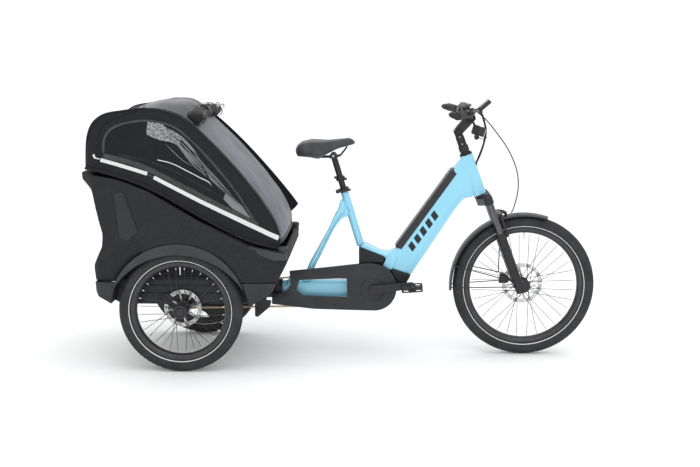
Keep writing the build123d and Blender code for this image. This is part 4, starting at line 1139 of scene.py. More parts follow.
def far_flap():
    """The zip flap that stands off the left front seam and ends in a point."""
    rows = []
    for place in np.linspace(FLAP_START, FLAP_END, 70):
        seam = station(SEAM, place)
        grow = (place - FLAP_START) / 4.4
        reach = 13 + 12 * grow + 26 * grow ** 3
        if place > 14.85:
            reach *= (FLAP_END - place) / 0.25 * 0.9 + 0.1
        ridge = station(RIDGE, place)
        out = np.array([ridge[0] - seam[0], 0, ridge[2] - seam[2]])
        out /= np.linalg.norm(out)
        row = []
        for share in np.linspace(0, 1, 6):
            point = seam + out * reach * share + np.array([0, 2 * math.sin(share * 3), 0])
            row.append(at(point[0], point[1] - 2, point[2]))
        rows.append(row)
    return Shape().sheet(rows)


def make_windows(tree):
    front = Shape().sheet(cloth_rows(ROOF_END - 0.1, WINDOW_END + 0.1, -0.95, 0.95, 61,
                                     lambda p, s: top_cloth(p, s, -1.2)))
    # the front window's grey is painted sheen
    front_piece = front.piece("front_window", "front_film_painted_sheen", "canopy", "canopy_fabric", thick=0.5)
    for name, side in SIDES:
        film = Shape().sheet(cloth_rows(0.2, len(STATIONS) - 1.2, 0.04, 0.97, 30,
                                        lambda p, s: side_cloth(p, s, side, -1.4)))
        made = mesh_object("side_window_" + name, film.points, film.faces)
        x, _, z = middles(made.data).T
        keep_faces(made.data, inside(SIDE_WINDOW, x, z) | (edge_distance(SIDE_WINDOW, x, z) < 6))
        finished(made, "window_film", "canopy", thick=0.5)
        crumple, folds = film_bundle(tree, side)
        # the crumpled film's pale colour is painted reflection
        crumple.piece("film_crumple_" + name, "crumpled_film", "canopy", "canopy_fabric", smooth=30)
        # the pale fold strips are painted highlights
        folds.piece("film_fold_highlights_" + name, "film_fold_highlights", "canopy", "canopy_fabric", smooth=30)
        # dark bands of painted shade over the film's creases
        painted_crease_shade(tree, side).piece("film_shadows_" + name, "canopy_edging", "canopy", "canopy_fabric")


def make_trims(tree):
    strip_rear = [(-318, 898), (-222, 871), (-126, 841)]
    strip_front = [(-99, 826), (89, 729), (250, 651), (414, 573)]
    hem = [(-306, 915), (-172, 880), (-67, 833), (89, 752), (223, 683), (330, 628)]
    zip_line = [(-83, 898), (-24, 883), (40, 852), (90, 826), (126, 808), (141, 790)]
    rim_window = SIDE_WINDOW[:12]
    for name, side in SIDES:
        for label, line, widths, count in (("strip_rear_", strip_rear, 15, 90),
                                           ("strip_front_", strip_front, [15, 16, 18, 19], 140)):
            strip = ribbon(tree, side, line, widths, 2.4, 1.6, count)
            strip.piece(label + name, "tyre_stripe", "canopy", "canopy_fabric", smooth=30)
        trims = ribbon(tree, side, hem, 20, 1.9, 1.6, 120, 0.4)
        trims.add(*parts(ribbon(tree, side, rim_window, 9, 2.2, 2.0, 160, 0.8)))
        trims.add(*parts(ribbon(tree, side, [(-128, 841), (-97, 826)], 5, 1.6, 1.2, 6)))
        # the hem's light grey is painted reflection
        trims.piece("hem_" + name, "canopy_hem", "canopy", "canopy_fabric", smooth=30)
        tab = ribbon(tree, side, [(-346, 920), (-342, 908), (-332, 904), (-322, 901)], [9, 8, 5, 5], 3, 2,
                     24)
        tab.piece("strip_tab_" + name, "tyre_stripe", "canopy", "canopy_fabric", smooth=30)
        zip_tape = ribbon(tree, side, zip_line, 3.4, 2.6, 2.0, 60, 0.5)
        zip_tape.piece("zip_" + name, "tyre_stripe", "canopy", "canopy_fabric", smooth=30)
        seam = [at(*(station(SEAM, place) * (1, side, 1) + (0, side * 1.0, 0)))
                for place in np.linspace(0, len(STATIONS) - 1, 150)]
        piping = Shape().tube(seam, 3.0, 10)
        inner_seam = [(-330, 905), (-331, 945), (-326, 988), (-317, 1026), (-295, 1049), (-249, 1073),
                      (-215, 1088),
                      (-172, 1098)]
        piping.add(*parts(ribbon(tree, side, inner_seam, 4.5, 2.6, 2.4, 110, 1.4)))
        piping.piece("piping_" + name, "canopy_edging", "canopy", "canopy_fabric")
    foot = Shape()
    for side in (RIGHT, LEFT):
        edge = [at(*(station(FOOT, place) * (1, side, 1) + (0, side * 3.0, 0)))
                for place in np.linspace(0, len(STATIONS) - 1, 150)]
        foot.tube(edge, 6, 14)
    foot.piece("canopy_hem_cord", "canopy_edging", "canopy", "canopy_fabric")


def make_bows():
    """The tubes that carry the cloth, just under it."""
    bows = Shape()
    for place in (7.1, 10.2):
        path = [top_cloth(place, share, -9) for share in np.linspace(-0.96, 0.96, 61)]
        for side in (LEFT, RIGHT):
            leg = [side_cloth(place, share, side, -10) for share in np.linspace(0.06, 0.96, 24)]
            path = path + leg[::-1] if side == LEFT else leg + path
        bows.tube(path, 6, 14)
    for side in (RIGHT, LEFT):
        rail = [side_cloth(place, 0.03, side, -12) for place in np.linspace(3.4, 15.4, 80)]
        bows.tube(rail, 6.5, 14)
    hinge_x, _, hinge_z = JOINTS["canopy_open"]["pos_m"]
    hinge = Vector((hinge_x, 0, hinge_z))
    bows.rod(hinge - ACROSS * HINGE_HALF, hinge + ACROSS * HINGE_HALF, 7, sides=24)
    for side in (RIGHT, LEFT):
        start = hinge + ACROSS * (side * HINGE_HALF)
        bows.tube([start, at(-352, side * 280, 872), side_cloth(3.4, 0.03, side, -12)], 6.5, 14)
    bows.piece("canopy_bows", "canopy_tube", "canopy")


def make_canopy():
    cloth = make_cloth()
    tree = side_tree()
    make_windows(tree)
    make_trims(tree)
    make_bows()
    # a lighter sheet laid over the roof top: painted sheen
    roof = Shape().sheet(cloth_rows(6.75, ROOF_END - 0.15, -0.95, 0.95, 61, lambda p,
                                    s: top_cloth(p, s, 1.6)))
    roof.piece("roof_panel", "roof_painted_sheen", "canopy", "canopy_fabric", thick=1.0)
    roll().piece("rolled_cover", "canopy_edging", "canopy", "canopy_fabric", smooth=60)
    straps, buckles = roll_straps()
    straps.piece("roll_straps", "webbing", "canopy", smooth=40)
    buckles.piece("roll_buckles", "stanchion", "canopy", "canopy_fabric", edge=1)
    far_flap().piece("zip_flap", "canopy_edging", "canopy", "canopy_fabric", thick=1.6)


make_canopy()

# ---- the frame ----------------------------------------------------------------------
LOWER_EDGE = [(908, 282), (952, 322), (973, 363), (1157, 648), (1200, 704), (1244, 712)]
UPPER_EDGE = [(744, 487), (796, 486), (840, 464), (876, 460), (905, 474), (1180, 866)]
TUBE_RUN, TUBE_RISE = 0.579, 0.8153     # the down tube's slope, as a direction
WEB_HALF = 37                   # half the down tube's least width


def on_tube(along, out):
    """A side-view point, along the down tube's upper edge and out from it."""
    return 907 + along * TUBE_RUN - out * TUBE_RISE, 483 + along * TUBE_RISE + out * TUBE_RUN


def inflate_tube(mesh):
    """Gives the flat-sided down tube a hydroformed one's round flanks and fits its head end."""
    points = in_millimetres(mesh)
    x, y, z = points.T
    away = edge_distance(LOWER_EDGE, x, z, closed=False)
    upper = edge_distance(UPPER_EDGE, x, z, closed=False)
    lower_round = 0.30 + 0.70 * np.sqrt(np.clip(1 - (1 - np.clip(away / 34, 0, 1)) ** 2, 0, 1))
    upper_round = 0.84 + 0.16 * np.sqrt(np.clip(1 - (1 - np.clip(upper / 42, 0, 1)) ** 2, 0, 1))
    on_tube = (x > 800) & (np.abs(y) > WEB_HALF)
    scale = np.where(on_tube, np.minimum(lower_round, upper_round), 1)
    head = np.abs(x - 1208) < 90
    scale = np.where(head & (z > 700), np.maximum(scale, 0.80), scale)
    y = np.where(on_tube, np.sign(y) * np.maximum(np.abs(y) * scale, WEB_HALF), y)
    front = FRONT_AXLE / MM
    behind = STEER_X - (x + AXLE_X / MM - front.x) * STEER_FORWARD.x - (z - front.z) * STEER_FORWARD.z
    share = np.clip(behind / 100, 0, 1)
    most = 30 + 18 * share * share * (3 - 2 * share)
    round_share = np.clip(behind / 29, 0, 0.985)
    square = np.where((behind > 0) & (behind < 32) & (np.abs(y) > 3),
                      (1 - round_share ** 5) ** 0.2 / np.sqrt(1 - round_share ** 2), 1)
    points[:, 1] = np.where((x > 1110) & (z > 700), np.clip(y * square, -most, most), y)
    set_millimetres(mesh, points)


def round_stays(mesh):
    """Rounds the wishbone and the seat tube to ovals, and tapers the stays' side outline."""
    points = in_millimetres(mesh)
    x, y, z = points.T
    line = [(682, 720), (600, 520), (535, 331)]
    away = edge_distance(line, x, z, closed=False)
    share = np.clip(away / 30, 0, 1)
    scale = np.where((np.abs(y) > 18) & (z > 345), 1 - 0.34 * share ** 2.4, 1)
    points[:, 1] *= scale
    in_stay = x < np.interp(z, (331, 480, 640, 700), (700, 700, 687, 672))
    levels = np.arange(331, 641, 12)
    left, right = [], []
    for level in levels:
        near = x[in_stay & (np.abs(z - level) < 9)]
        left.append(near.min() if len(near) else level * 0.344 + 394)
        right.append(near.max() if len(near) else level * 0.344 + 450)
    old_left, old_right = np.interp(z, levels, left), np.interp(z, levels, right)
    new_left = np.interp(z, (331, 402, 567, 702), (490, 518, 609, 664))
    new_right = np.interp(z, (331, 402, 567, 640), (528, 554, 637, 690))
    moved = new_left + (x - old_left) * (new_right - new_left) / (old_right - old_left)
    share = np.clip((690 - z) / 60, 0, 1) * in_stay
    points[:, 0] = x + (moved - x) * share
    set_millimetres(mesh, points)


def lower_bracket(mesh):
    """Keeps the rear tube's front bracket below the chain case's top edge."""
    points = in_millimetres(mesh)
    high = (points[:, 0] > 660) & (points[:, 2] > 380)
    points[high, 2] = 380
    set_millimetres(mesh, points)


def lettering(tree):
    """Five slanted generic bars on each flank of the down tube."""
    bars = Shape()
    for side in (RIGHT, LEFT):
        for number in range(5):
            along, out = 28 + 42 * number, -52
            corners = [(along, out - 16), (along + 27, out - 16), (along + 38, out + 16),
                       (along + 11, out + 16)]
            outline = [on_tube(a, o) for a, o in corners]
            bars.add(*parts(side_patch(tree, side, rounded(outline, 2, 2), 0.25, 0.9, 5)))
    return bars


def make_frame():
    tube = softened("down_tube_form", ("down_tube",), 3, 12, "frame_paint", "front_frame",
                    reshape=inflate_tube)
    softened("stay_form", ("seat_stays", "seat_tube"), 2.6, 8, "frame_paint", "front_frame",
             reshape=round_stays)
    softened("rear_tube_form", ("rear_tube",), 3, 4, "frame_paint", "front_frame", reshape=lower_bracket)
    lettering(surface_tree(tube)).piece("flank_bars", "tube_marks", "front_frame", "frame_paint")
    gusset = [(848, 404), (858, 424), (866, 446), (886, 462), (912, 440), (894, 398), (884, 384)]
    plates = Shape()
    for side in (RIGHT, LEFT):
        plates.plate(rounded(gusset, 9, 4), *sorted((side * 38, side * 50)))
    plates.piece("motor_gussets", "frame_paint", "front_frame", edge=2.5)
    collar = Shape()
    radius = 28.8
    for low, high in ((444.5, 450), (634, 640)):
        collar.lathe([(radius, 0), (radius, high - low), (radius - 3, high - low), (radius - 3, 0)],
                     on_fork(STEER_X, 0, low), 64, axis=STEER_UP)
    collar.piece("headset_rings", "black_metal", "front_frame", edge=0.6)


make_frame()

# ---- drive --------------------------------------------------------------------------
BB_X, BB_Z = 807, 303
CHAIN_Y = -50
CHAINRING_R, SPROCKET_R = 76.8, 52.6
REAR_AXLE_Z = REAR_RADIUS
LINKS = 160
CHAINRING_TEETH, SPROCKET_TEETH = 38, 26
PLATE_END = 4.2                 # the radius of a link plate's ends


def chain_path(count):
    """Points of the chain's pitch line round both sprockets, evenly spaced, in the side view."""
    run = math.hypot(BB_X, BB_Z - REAR_AXLE_Z)
    lean = math.atan2(BB_Z - REAR_AXLE_Z, BB_X)
    spread = math.acos((CHAINRING_R - SPROCKET_R) / run)
    points = []
    for centre, radius, start, end in (((BB_X, BB_Z), CHAINRING_R, lean - spread, lean + spread),
                                       ((0, REAR_AXLE_Z), SPROCKET_R, lean + spread,
                                        lean + math.tau - spread)):
        for turn in np.linspace(start, end, 200):
            points.append((centre[0] + radius * math.cos(turn), centre[1] + radius * math.sin(turn)))
    points.append(points[0])
    points = np.array(points)
    along = np.r_[0, np.cumsum(np.linalg.norm(np.diff(points, axis=0), axis=1))]
    wanted = np.linspace(0, along[-1], count, endpoint=False)
    return np.column_stack([np.interp(wanted, along, points[:, axis]) for axis in (0, 1)])


def chain_links():
    """Roller chain: side plates in turn inside and outside, on bushed pins."""
    links = Shape()
    pins = chain_path(LINKS)
    for number, pin in enumerate(pins):
        after = pins[(number + 1) % len(pins)]
        x, z = pin
        links.rod(at(x, CHAIN_Y - 4.2, z), at(x, CHAIN_Y + 4.2, z), 2.0, sides=10)
        links.rod(at(x, CHAIN_Y - 2.2, z), at(x, CHAIN_Y + 2.2, z), 3.8, sides=12)
        ahead = (after - pin) / np.linalg.norm(after - pin)
        across = np.array([-ahead[1], ahead[0]])
        outline = []
        for end, sign in ((pin, -1), (after, 1)):
            for turn in np.radians((-75, -38, 0, 38, 75)):
                outline.append(tuple(end + sign * ahead * PLATE_END * math.cos(turn)
                                     + sign * across * PLATE_END * math.sin(turn)))
        middle = (pin + after) / 2
        outline.insert(5, tuple(middle - sign * across * 3.0))
        outline.append(tuple(middle + sign * across * 3.0))
        reach = 2.6 if number % 2 else 3.5
        for side in (RIGHT, LEFT):
            links.plate(outline, CHAIN_Y + side * reach - 0.4, CHAIN_Y + side * reach + 0.4)
    return links


def toothed_ring(radius, teeth, centre):
    """The toothed rim of a chainring or a sprocket."""
    rings = []
    for number in range(teeth * 8):
        turn = math.tau * number / (teeth * 8)
        height = (0, 1.2, 3.4, 4.6, 4.6, 3.4, 1.2, 0)[number % 8]
        out = heading(turn)
        outer, inner = (radius - 4.4 + height) * MM, (radius - 7) * MM
        thin = 1.0 if height > 3 else 1.6
        rings.append([centre + out * outer + ACROSS * (thin * MM),
                      centre + out * outer - ACROSS * (thin * MM),
                      centre + out * inner - ACROSS * (2.2 * MM),
                      centre + out * inner + ACROSS * (2.2 * MM)])
    return Shape().skin(rings, wrap=True)


def screw(shape, point, out, radius):
    """A domed socket-head screw."""
    profile = [(radius * 0.45, -1.2), (radius * 0.45, 0.9), (radius * 0.75, 1.3), (radius, 0.6),
               (radius, -1.2)]
    shape.lathe(profile, point, 20, axis=out)
    shape.rod(point - Vector(out) * (1.2 * MM), point - Vector(out) * (0.3 * MM), radius * 0.47, sides=6)


CASE_WINDOW = [(482, 343), (690, 353), (694, 268), (500, 274), (468, 300)]


def case_outline():
    points = [(438, 382), (600, 400), (744, 417), (800, 419), (830, 414)]
    for turn in np.radians(np.linspace(62, -88, 40)):
        radius = float(np.interp(math.degrees(turn), (-88, -40, 20, 62), (96, 100, 104, 112)))
        points.append((BB_X + radius * math.cos(turn), BB_Z + radius * math.sin(turn)))
    return points + [(700, 209), (545, 213), (359, 234), (360, 276), (404, 285), (430, 296), (442, 318),
                     (441, 344)]


def case_cover():
    """The chain case's outer shell: a plate with a window, returned walls and standoffs."""
    outer, hole = case_outline(), rounded(CASE_WINDOW, 6, 4)
    flat = [[Vector((x, z, 0)) for x, z in line] for line in (outer, hole)]
    triangles = tessellate_polygon(flat)
    count = len(outer) + len(hole)
    shape = Shape()
    points = [at(x, y, z) for y in (-73, -69.5) for x, z in outer + hole]
    faces = [list(face) for face in triangles]
    faces += [[corner + count for corner in face[::-1]] for face in triangles]
    start = 0
    for line in (outer, hole):
        for number in range(len(line)):
            here, there = start + number, start + (number + 1) % len(line)
            faces.append([here, there, there + count, here + count])
        start += len(line)
    shape.add(points, faces)
    rings = []
    for (x, z), (x2, z2) in zip(outer, outer[1:] + outer[:1]):
        along = Vector((x2 - x, z2 - z)).normalized()
        inward = Vector((along.y, -along.x)) * 2.6
        rings.append([at(x, -71, z), at(x, -60, z), at(x + inward.x, -60, z + inward.y),
                      at(x + inward.x, -71, z + inward.y)])
    shape.skin(rings, wrap=True)
    for x, z in ((442, 356), (752, 400), (884, 350)):
        shape.rod(at(x, -71, z), at(x, -44, z), 5)
    return shape


def trim_motor(mesh):
    """Draws the motor in behind the chain case's round end."""
    points = in_millimetres(mesh)
    dx, dz = points[:, 0] - BB_X, points[:, 2] - BB_Z
    radius = np.hypot(dx, dz)
    scale = np.where((points[:, 2] < 322) & (radius > 97), 97 / np.maximum(radius, 1), 1)
    points[:, 0] = BB_X + dx * scale
    points[:, 2] = BB_Z + dz * scale
    high = points[:, 2] > 392
    points[high, 0] = np.maximum(points[high, 0], 743)
    set_millimetres(mesh, points)


def make_drive():
    case = case_cover().piece("case_cover", "case_plastic", "front_frame", edge=2.2, smooth=60)
    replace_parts(case, "chain_case")
    softened("motor_form", ("motor",), 2.2, 6, "motor_plastic", "front_frame", reshape=trim_motor)
    softened("crank_form", ("crankset",), 1.8, 7, "black_metal", "crank")
    chain_piece = chain_links().piece("chain_links", "chain_steel", "front_frame", smooth=40)
    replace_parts(chain_piece, "chain")
    teeth = toothed_ring(CHAINRING_R, CHAINRING_TEETH, at(BB_X, CHAIN_Y, BB_Z))
    teeth.piece("chainring_teeth", "black_metal", "crank")
    teeth = toothed_ring(SPROCKET_R, SPROCKET_TEETH, at(0, CHAIN_Y, REAR_AXLE_Z))
    teeth.piece("sprocket_teeth", "rotor_steel", "rear_sprocket", "chain_steel")
    ring = [(49, 0), (49, 2.6), (51, 4), (54, 4), (57, 1.2), (57, 0)]
    trim = Shape().lathe(ring, at(BB_X, -72.4, BB_Z), 96, axis=-ACROSS)
    crease = smooth_line([(470, 372), (600, 388), (745, 404), (836, 398), (888, 344)], 70)
    trim.tube([at(x, -73.2, z) for x, z in crease], 1.1, 8)
    trim.piece("case_trim", "case_plastic", "front_frame")
    fixings = Shape()
    for x, z in ((448, 356), (452, 246), (716, 390), (880, 330), (872, 266), (640, 232)):
        screw(fixings, at(x, -73.4, z), -ACROSS, 4.2)
    fixings.piece("case_screws", "black_metal", "front_frame")
    bolts = Shape()
    for side in (RIGHT, LEFT):
        bolts.lathe([(0.1, 0), (4, 0), (4, 1.5), (7, 2.4), (8.5, 1), (8.5, -2), (0.1, -2)],
                    at(BB_X, side * 92.4, BB_Z), 40, axis=ACROSS * side)
    bolts.piece("crank_bolts", "hub_steel", "crank", "black_metal")


make_drive()

# ---- battery ------------------------------------------------------------------------
def make_battery():
    """Cover with a crowned top, rounded ends and a lock flap, over the cell pack."""
    rings = []
    for along in np.r_[0.5, 2, 5, np.linspace(12, 416, 60), 423, 426, 427.5]:
        end = min(along, 428 - along)
        shut = math.sqrt(max(0, 1 - (1 - min(end / 12, 1)) ** 2))
        half, crown = 28 + 17 * shut, 2 + 7 * shut
        ring = []
        for turn in np.linspace(-math.pi / 2, math.pi / 2, 25):
            y = half * math.copysign(abs(math.sin(turn)) ** 0.75, turn)
            x, z = on_tube(along, -2 + (crown + 3) * math.cos(turn) ** 0.55 if math.cos(turn) > 1e-6 else -2)
            ring.append(at(x, y, z))
        for y, out in ((half, -22), (half - 3, -22), (half - 4, -8), (4 - half, -8), (3 - half, -22),
                       (-half, -22)):
            x, z = on_tube(along, out)
            ring.append(at(x, y, z))
        rings.append(ring)
    cover = Shape().skin(rings).piece("battery_cover", "battery_plastic", "battery", smooth=50)
    pack = [on_tube(2, -60), on_tube(426, -60), on_tube(426, -13), on_tube(2, -13)]
    core = Shape().plate(rounded(pack, 5, 3), -33, 33)
    for number in range(9):
        rib = [on_tube(30 + 42 * number, -61), on_tube(36 + 42 * number, -61),
               on_tube(36 + 42 * number, -15),
               on_tube(30 + 42 * number, -15)]
        core.plate(rib, -34.4, 34.4)
    core.piece("battery_case", "motor_plastic", "battery", "battery_plastic", edge=0.8)
    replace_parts(cover, "battery")
    lock = Shape()
    flap = [on_tube(372, -3), on_tube(402, -3), on_tube(402, 9.4), on_tube(396, 10.4), on_tube(378, 10.4),
            on_tube(372, 9.4)]
    lock.plate(rounded(flap, 2, 3), -13, 13)
    x, z = on_tube(387, 10)
    out = Vector((-TUBE_RISE, 0, TUBE_RUN))
    lock.lathe([(3, -1), (3, 0.6), (7, 1.2), (8.4, 0.4), (8.4, -1)], at(x, 0, z), 32, axis=out)
    lock.piece("battery_lock", "display_glass", "battery", "battery_plastic", edge=0.4)
    lights = Shape()
    for number in range(5):
        x, z = on_tube(330 + 6 * number, 6.7)
        lights.rod(at(x, -24, z) - out * 0.002, at(x, -24, z) + out * 0.0006, 1.4, sides=12)
    lights.piece("charge_lights", "bright_steel", "battery", "battery_plastic")


make_battery()

# ---- seat ---------------------------------------------------------------------------
SADDLE_TOP = [(466, 918), (474, 934), (490, 946), (532, 956), (570, 955), (606, 954), (650, 959), (698, 964),
              (716, 957), (725, 944)]
SADDLE_LOW = [(466, 904), (474, 884), (500, 882), (530, 879), (566, 872), (597, 890), (630, 908), (659, 920),
              (700, 931), (716, 935), (725, 941)]
SADDLE_HALF = [(466, 34), (474, 62), (488, 80), (510, 89), (540, 89), (570, 76), (600, 56), (640, 37),
               (690, 26),
               (714, 17), (725, 4)]


CLAMP_X, CLAMP_Z = 630.3, 887   # the saddle clamp's bolt


def along_curve(curve, x):
    xs, values = zip(*curve)
    return float(np.interp(x, xs, values))


def saddle_rings():
    rings = []
    for x in np.r_[466, 467.5, 470, np.linspace(474, 716, 64), 720, 723, 724.6]:
        top, low, half = (along_curve(curve, x) for curve in (SADDLE_TOP, SADDLE_LOW, SADDLE_HALF))
        ring = []
        for turn in turns(56):
            side, up = math.cos(turn), math.sin(turn)
            y = half * math.copysign(abs(side) ** 0.62, side)
            middle = top - min(16, (top - low) * 0.5)
            reach = top - middle if up > 0 else middle - low
            z = middle + reach * math.copysign(abs(up) ** 0.75, up)
            if up > 0 and 478 < x < 690:
                z -= 4.5 * math.exp(-(y / 11) ** 2) * math.sin(math.pi * (x - 478) / 212)
            ring.append(at(x, y, z))
        rings.append(ring)
    return rings


def make_saddle():
    rings = saddle_rings()
    pad = Shape().skin(rings).piece("saddle_pad", "saddle_cover", "saddle", levels=1, smooth=70)
    seams = Shape()
    for column in (4, 24):
        seams.tube([ring[column] for ring in rings[5:-5]], 1.3, 8)
    seams.piece("saddle_seams", "saddle_cover", "saddle")
    rails = Shape()
    for side in (RIGHT, LEFT):
        path = [(492, 30, 900), (512, 27, 893), (541, 24, 881), (590, 24, 881), (652, 24, 885),
                (672, 20, 902),
                (690, 14, 926)]
        rails.tube(smooth_line([at(x, side * y, z) for x, y, z in path], 60), 3.5, 14)
        rails.rod(at(CLAMP_X, side * 18.5, CLAMP_Z), at(CLAMP_X, side * 26, CLAMP_Z), 14, sides=40)
        rails.rod(at(CLAMP_X, side * 26, CLAMP_Z), at(CLAMP_X, side * 29.5, CLAMP_Z), 7, sides=6)
        rails.block((612, 648), sorted((side * 19, side * 29)), (876, 889))
    rails.rod(at(CLAMP_X, -29, CLAMP_Z), at(CLAMP_X, 29, CLAMP_Z), 3.9, sides=20)
    bolt = Shape().rod(at(CLAMP_X, -29, CLAMP_Z), at(CLAMP_X, -31.5, CLAMP_Z), 6, sides=6)
    bolt.piece("saddle_bolt", "rotor_steel", "saddle", "saddle_cover", edge=0.5)
    frame_piece = rails.piece("saddle_rails", "black_metal", "saddle", "saddle_cover", edge=0.6)
    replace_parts(frame_piece, "saddle")


make_saddle()

# ---- cockpit, in the fork's own frame -----------------------------------------------
BAR_END, BAR_BEND = Vector((-34, 322, 833)), Vector((20, 104, 806))
LAMP_Z = 996


def bar_place(side, inward, ahead=0.0, up=0.0):
    """A point by the bar: inward from its end, ahead of its axis and above it."""
    along = (BAR_END - BAR_BEND).normalized()
    forward = Vector((1, 0, 0))
    forward = (forward - along * along.dot(forward)).normalized()
    upward = forward.cross(along)
    upward = upward if upward.z > 0 else -upward
    point = BAR_END - along * inward + forward * ahead + upward * up
    return on_fork(point.x, side * point.y, point.z)


def ring_round_bar(side, inward, radii):
    """One section round the bar; radii are given for evenly spaced turns from ahead over the top."""
    count = len(radii)
    return [bar_place(side, inward, radius * math.cos(math.tau * n / count),
                      radius * math.sin(math.tau * n / count)) for n, radius in enumerate(radii)]


def grip(side):
    """Rubber grip with a palm wing behind its outer half, ribs and a lock ring."""
    rings = []
    for inward in np.r_[-4, -3.4, -1.5, np.linspace(0, 118, 80), 120, 121.5]:
        wing = float(np.interp(inward, (-4, 4, 26, 48, 78, 92), (7, 19, 26, 22, 6, 0)))
        base = float(np.interp(inward, (-4, -2, 4, 110, 118, 121.5), (10, 16.5, 17.5, 16.8, 16.2, 14.5)))
        radii = []
        for number in range(56):
            turn = math.tau * number / 56
            back = max(0, math.cos(turn - math.radians(150)))
            rib = 0.35 * math.sin(inward * 1.15) * (back < 0.2) * (8 < inward < 100)
            radii.append(base + wing * back ** 7 + rib)
        rings.append(ring_round_bar(side, inward, radii))
    return Shape().skin(rings)


def master(shape, side):
    """Brake master cylinder: clamp halves, barrel, reservoir with its lid, and the lever's mount."""
    shape.skin([ring_round_bar(side, inward, [16.4 if inward not in (174, 190) else 15.2] * 40)
                for inward in (174, 175.5, 188.5, 190)])
    barrel = [bar_place(side, inward, 30, -2) for inward in np.linspace(144, 196, 14)]
    shape.tube(barrel, [9, 11, 11.5, 12, 12.5, 12.5, 12.5, 12.5, 12, 12, 11.5, 10.5, 9, 7], 24)
    lid = [bar_place(side, inward, 32, 9) for inward in np.linspace(150, 190, 10)]
    shape.tube(lid, [6, 9, 10, 10, 10, 10, 10, 10, 9, 6], 20)
    shape.rod(bar_place(side, 182, 14, 0), bar_place(side, 182, 32, -1), 8.5, sides=20)
    shape.rod(bar_place(side, 196, 30, -2), bar_place(side, 214, 34, -3), 4.2, 3.2, sides=16)


def lever(side):
    """Two-finger blade with a hook at its end."""
    path = [(158, 48), (150, 56), (128, 61), (95, 60), (60, 55), (38, 54), (24, 58), (18, 55)]
    points = smooth_line([bar_place(side, inward, ahead, -2) for inward, ahead in path], 60)
    radii = np.interp(np.linspace(0, 1, 60), (0, 0.1, 0.3, 0.8, 0.95, 1), (5, 6.2, 5, 4.2, 5.4, 3.2))
    return Shape().tube(points, list(radii), 18, flat=0.62, up=STEER_UP)


def make_controls():
    grips, masters, bolts = Shape(), Shape(), Shape()
    for side in (RIGHT, LEFT):
        grips.add(*parts(grip(side)))
        master(masters, side)
        for inward in (178, 186):
            bolts.rod(bar_place(side, inward, 17, 11), bar_place(side, inward, 17, 13.6), 2.6, sides=12)
        for inward in (156, 184):
            bolts.rod(bar_place(side, inward, 32, 17), bar_place(side, inward, 32, 19.4), 1.9, sides=12)
    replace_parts(grips.piece("grip_bodies", "grip_rubber", "cockpit", smooth=60), "grips")
    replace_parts(masters.piece("master_bodies", "control_metal", "cockpit", smooth=50), "brake_masters")
    bolts.piece("master_bolts", "bright_steel", "cockpit", "control_metal")
    for name, side in SIDES:
        made = lever(side).piece("lever_blade_" + name, "control_metal", "brake_lever_" + name, smooth=60)
        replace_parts(made, "brake_lever_" + name)
    shifter = []
    for inward in np.r_[123, 123.6, np.linspace(124.4, 156, 60), 157, 157.6]:
        size = 17.6 if 124 < inward < 156.5 else 15.8
        ribbed = 127 < inward < 153
        radii = [size + 0.7 * (math.sin(12 * math.tau * n / 96) > 0.2) * ribbed for n in range(96)]
        shifter.append(ring_round_bar(RIGHT, inward, radii))
    made = Shape().skin(shifter).piece("shifter_barrel", "grip_rubber", "twist_shifter", smooth=30)
    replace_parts(made, "twist_shifter")


def make_bell():
    """Dark metal dome with a low knob, on a black clamp."""
    seat = bar_place(RIGHT, 214, -8, 34)
    clamp = Shape().skin([ring_round_bar(RIGHT, inward, [15.4 if 204 < inward < 214 else 14.2] * 40)
                          for inward in (203, 204.5, 213.5, 215)])
    clamp.rod(bar_place(RIGHT, 209, -2, 8), seat, 7, 6, sides=20)
    made = clamp.piece("bell_clamp", "control_metal", "cockpit", smooth=50)
    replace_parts(made, "bell")
    dome = [(23.6, 0), (24, 2.5), (23, 8.5), (20, 14), (15, 18.8), (8, 22), (0.1, 23), (0.1, 21.6),
            (7, 20.6),
            (13.6, 17.4), (18.6, 12.8), (21.4, 7.6), (22.2, 0)]
    top_piece = Shape().lathe(dome, seat, 64, axis=STEER_UP)
    top_piece.lathe([(0.1, 22), (3.4, 22), (3.4, 24.6), (0.1, 25.2)], seat, 24, axis=STEER_UP)
    top_piece.piece("bell_dome", "stanchion", "cockpit", "control_metal", smooth=60)


def make_display():
    """Display with a plastic bezel and dark glass, on its curved arm."""
    tilt = math.radians(21)
    along = Vector((math.cos(tilt), 0, math.sin(tilt)))
    out = Vector((-math.sin(tilt), 0, math.cos(tilt)))
    shapes = {}
    for key, half_x, half_y, low, high in (("body", 29, 42, -10, 4.2), ("bezel", 28.6, 41.6, 4, 5.6),
                                           ("pane", 25, 37, 5.2, 6.1)):
        outline = rounded([(-half_x, -half_y), (half_x, -half_y), (half_x, half_y), (-half_x, half_y)], 7, 5)
        rings = []
        for level in (low, high):
            ring = []
            for x, y in outline:
                point = Vector((104, 0, 812)) + along * x + Vector((0, y, 0)) + out * level
                ring.append(on_fork(point.x, point.y, point.z))
            rings.append(ring)
        shapes[key] = Shape().skin(rings)
    body = shapes["body"].piece("display_body", "lamp_body", "cockpit", "display_glass", edge=1.2)
    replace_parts(body, "display")
    shapes["bezel"].piece("display_bezel", "inset_plastic", "cockpit", "display_glass", edge=0.5)
    shapes["pane"].piece("display_pane", "display_glass", "cockpit", edge=0.4)
    arm = Shape()
    path = [(30, -36, 800), (48, -36, 806), (70, -30, 806), (90, -14, 804), (100, -4, 803)]
    arm.tube(smooth_line([on_fork(x, y, z) for x, y, z in path], 30), 7, 18, flat=0.7, up=STEER_UP)
    arm.lathe([(16.2, -6), (20, -6), (20, 6), (16.2, 6)], on_fork(28, -36, 781), 48)
    arm.rod(on_fork(76, -40, 790), on_fork(76, 40, 790), 9, sides=24)
    arm.rod(on_fork(28, -36, 798), on_fork(28, -36, 804), 6, sides=20)
    arm.piece("display_arm", "control_metal", "cockpit", smooth=50)


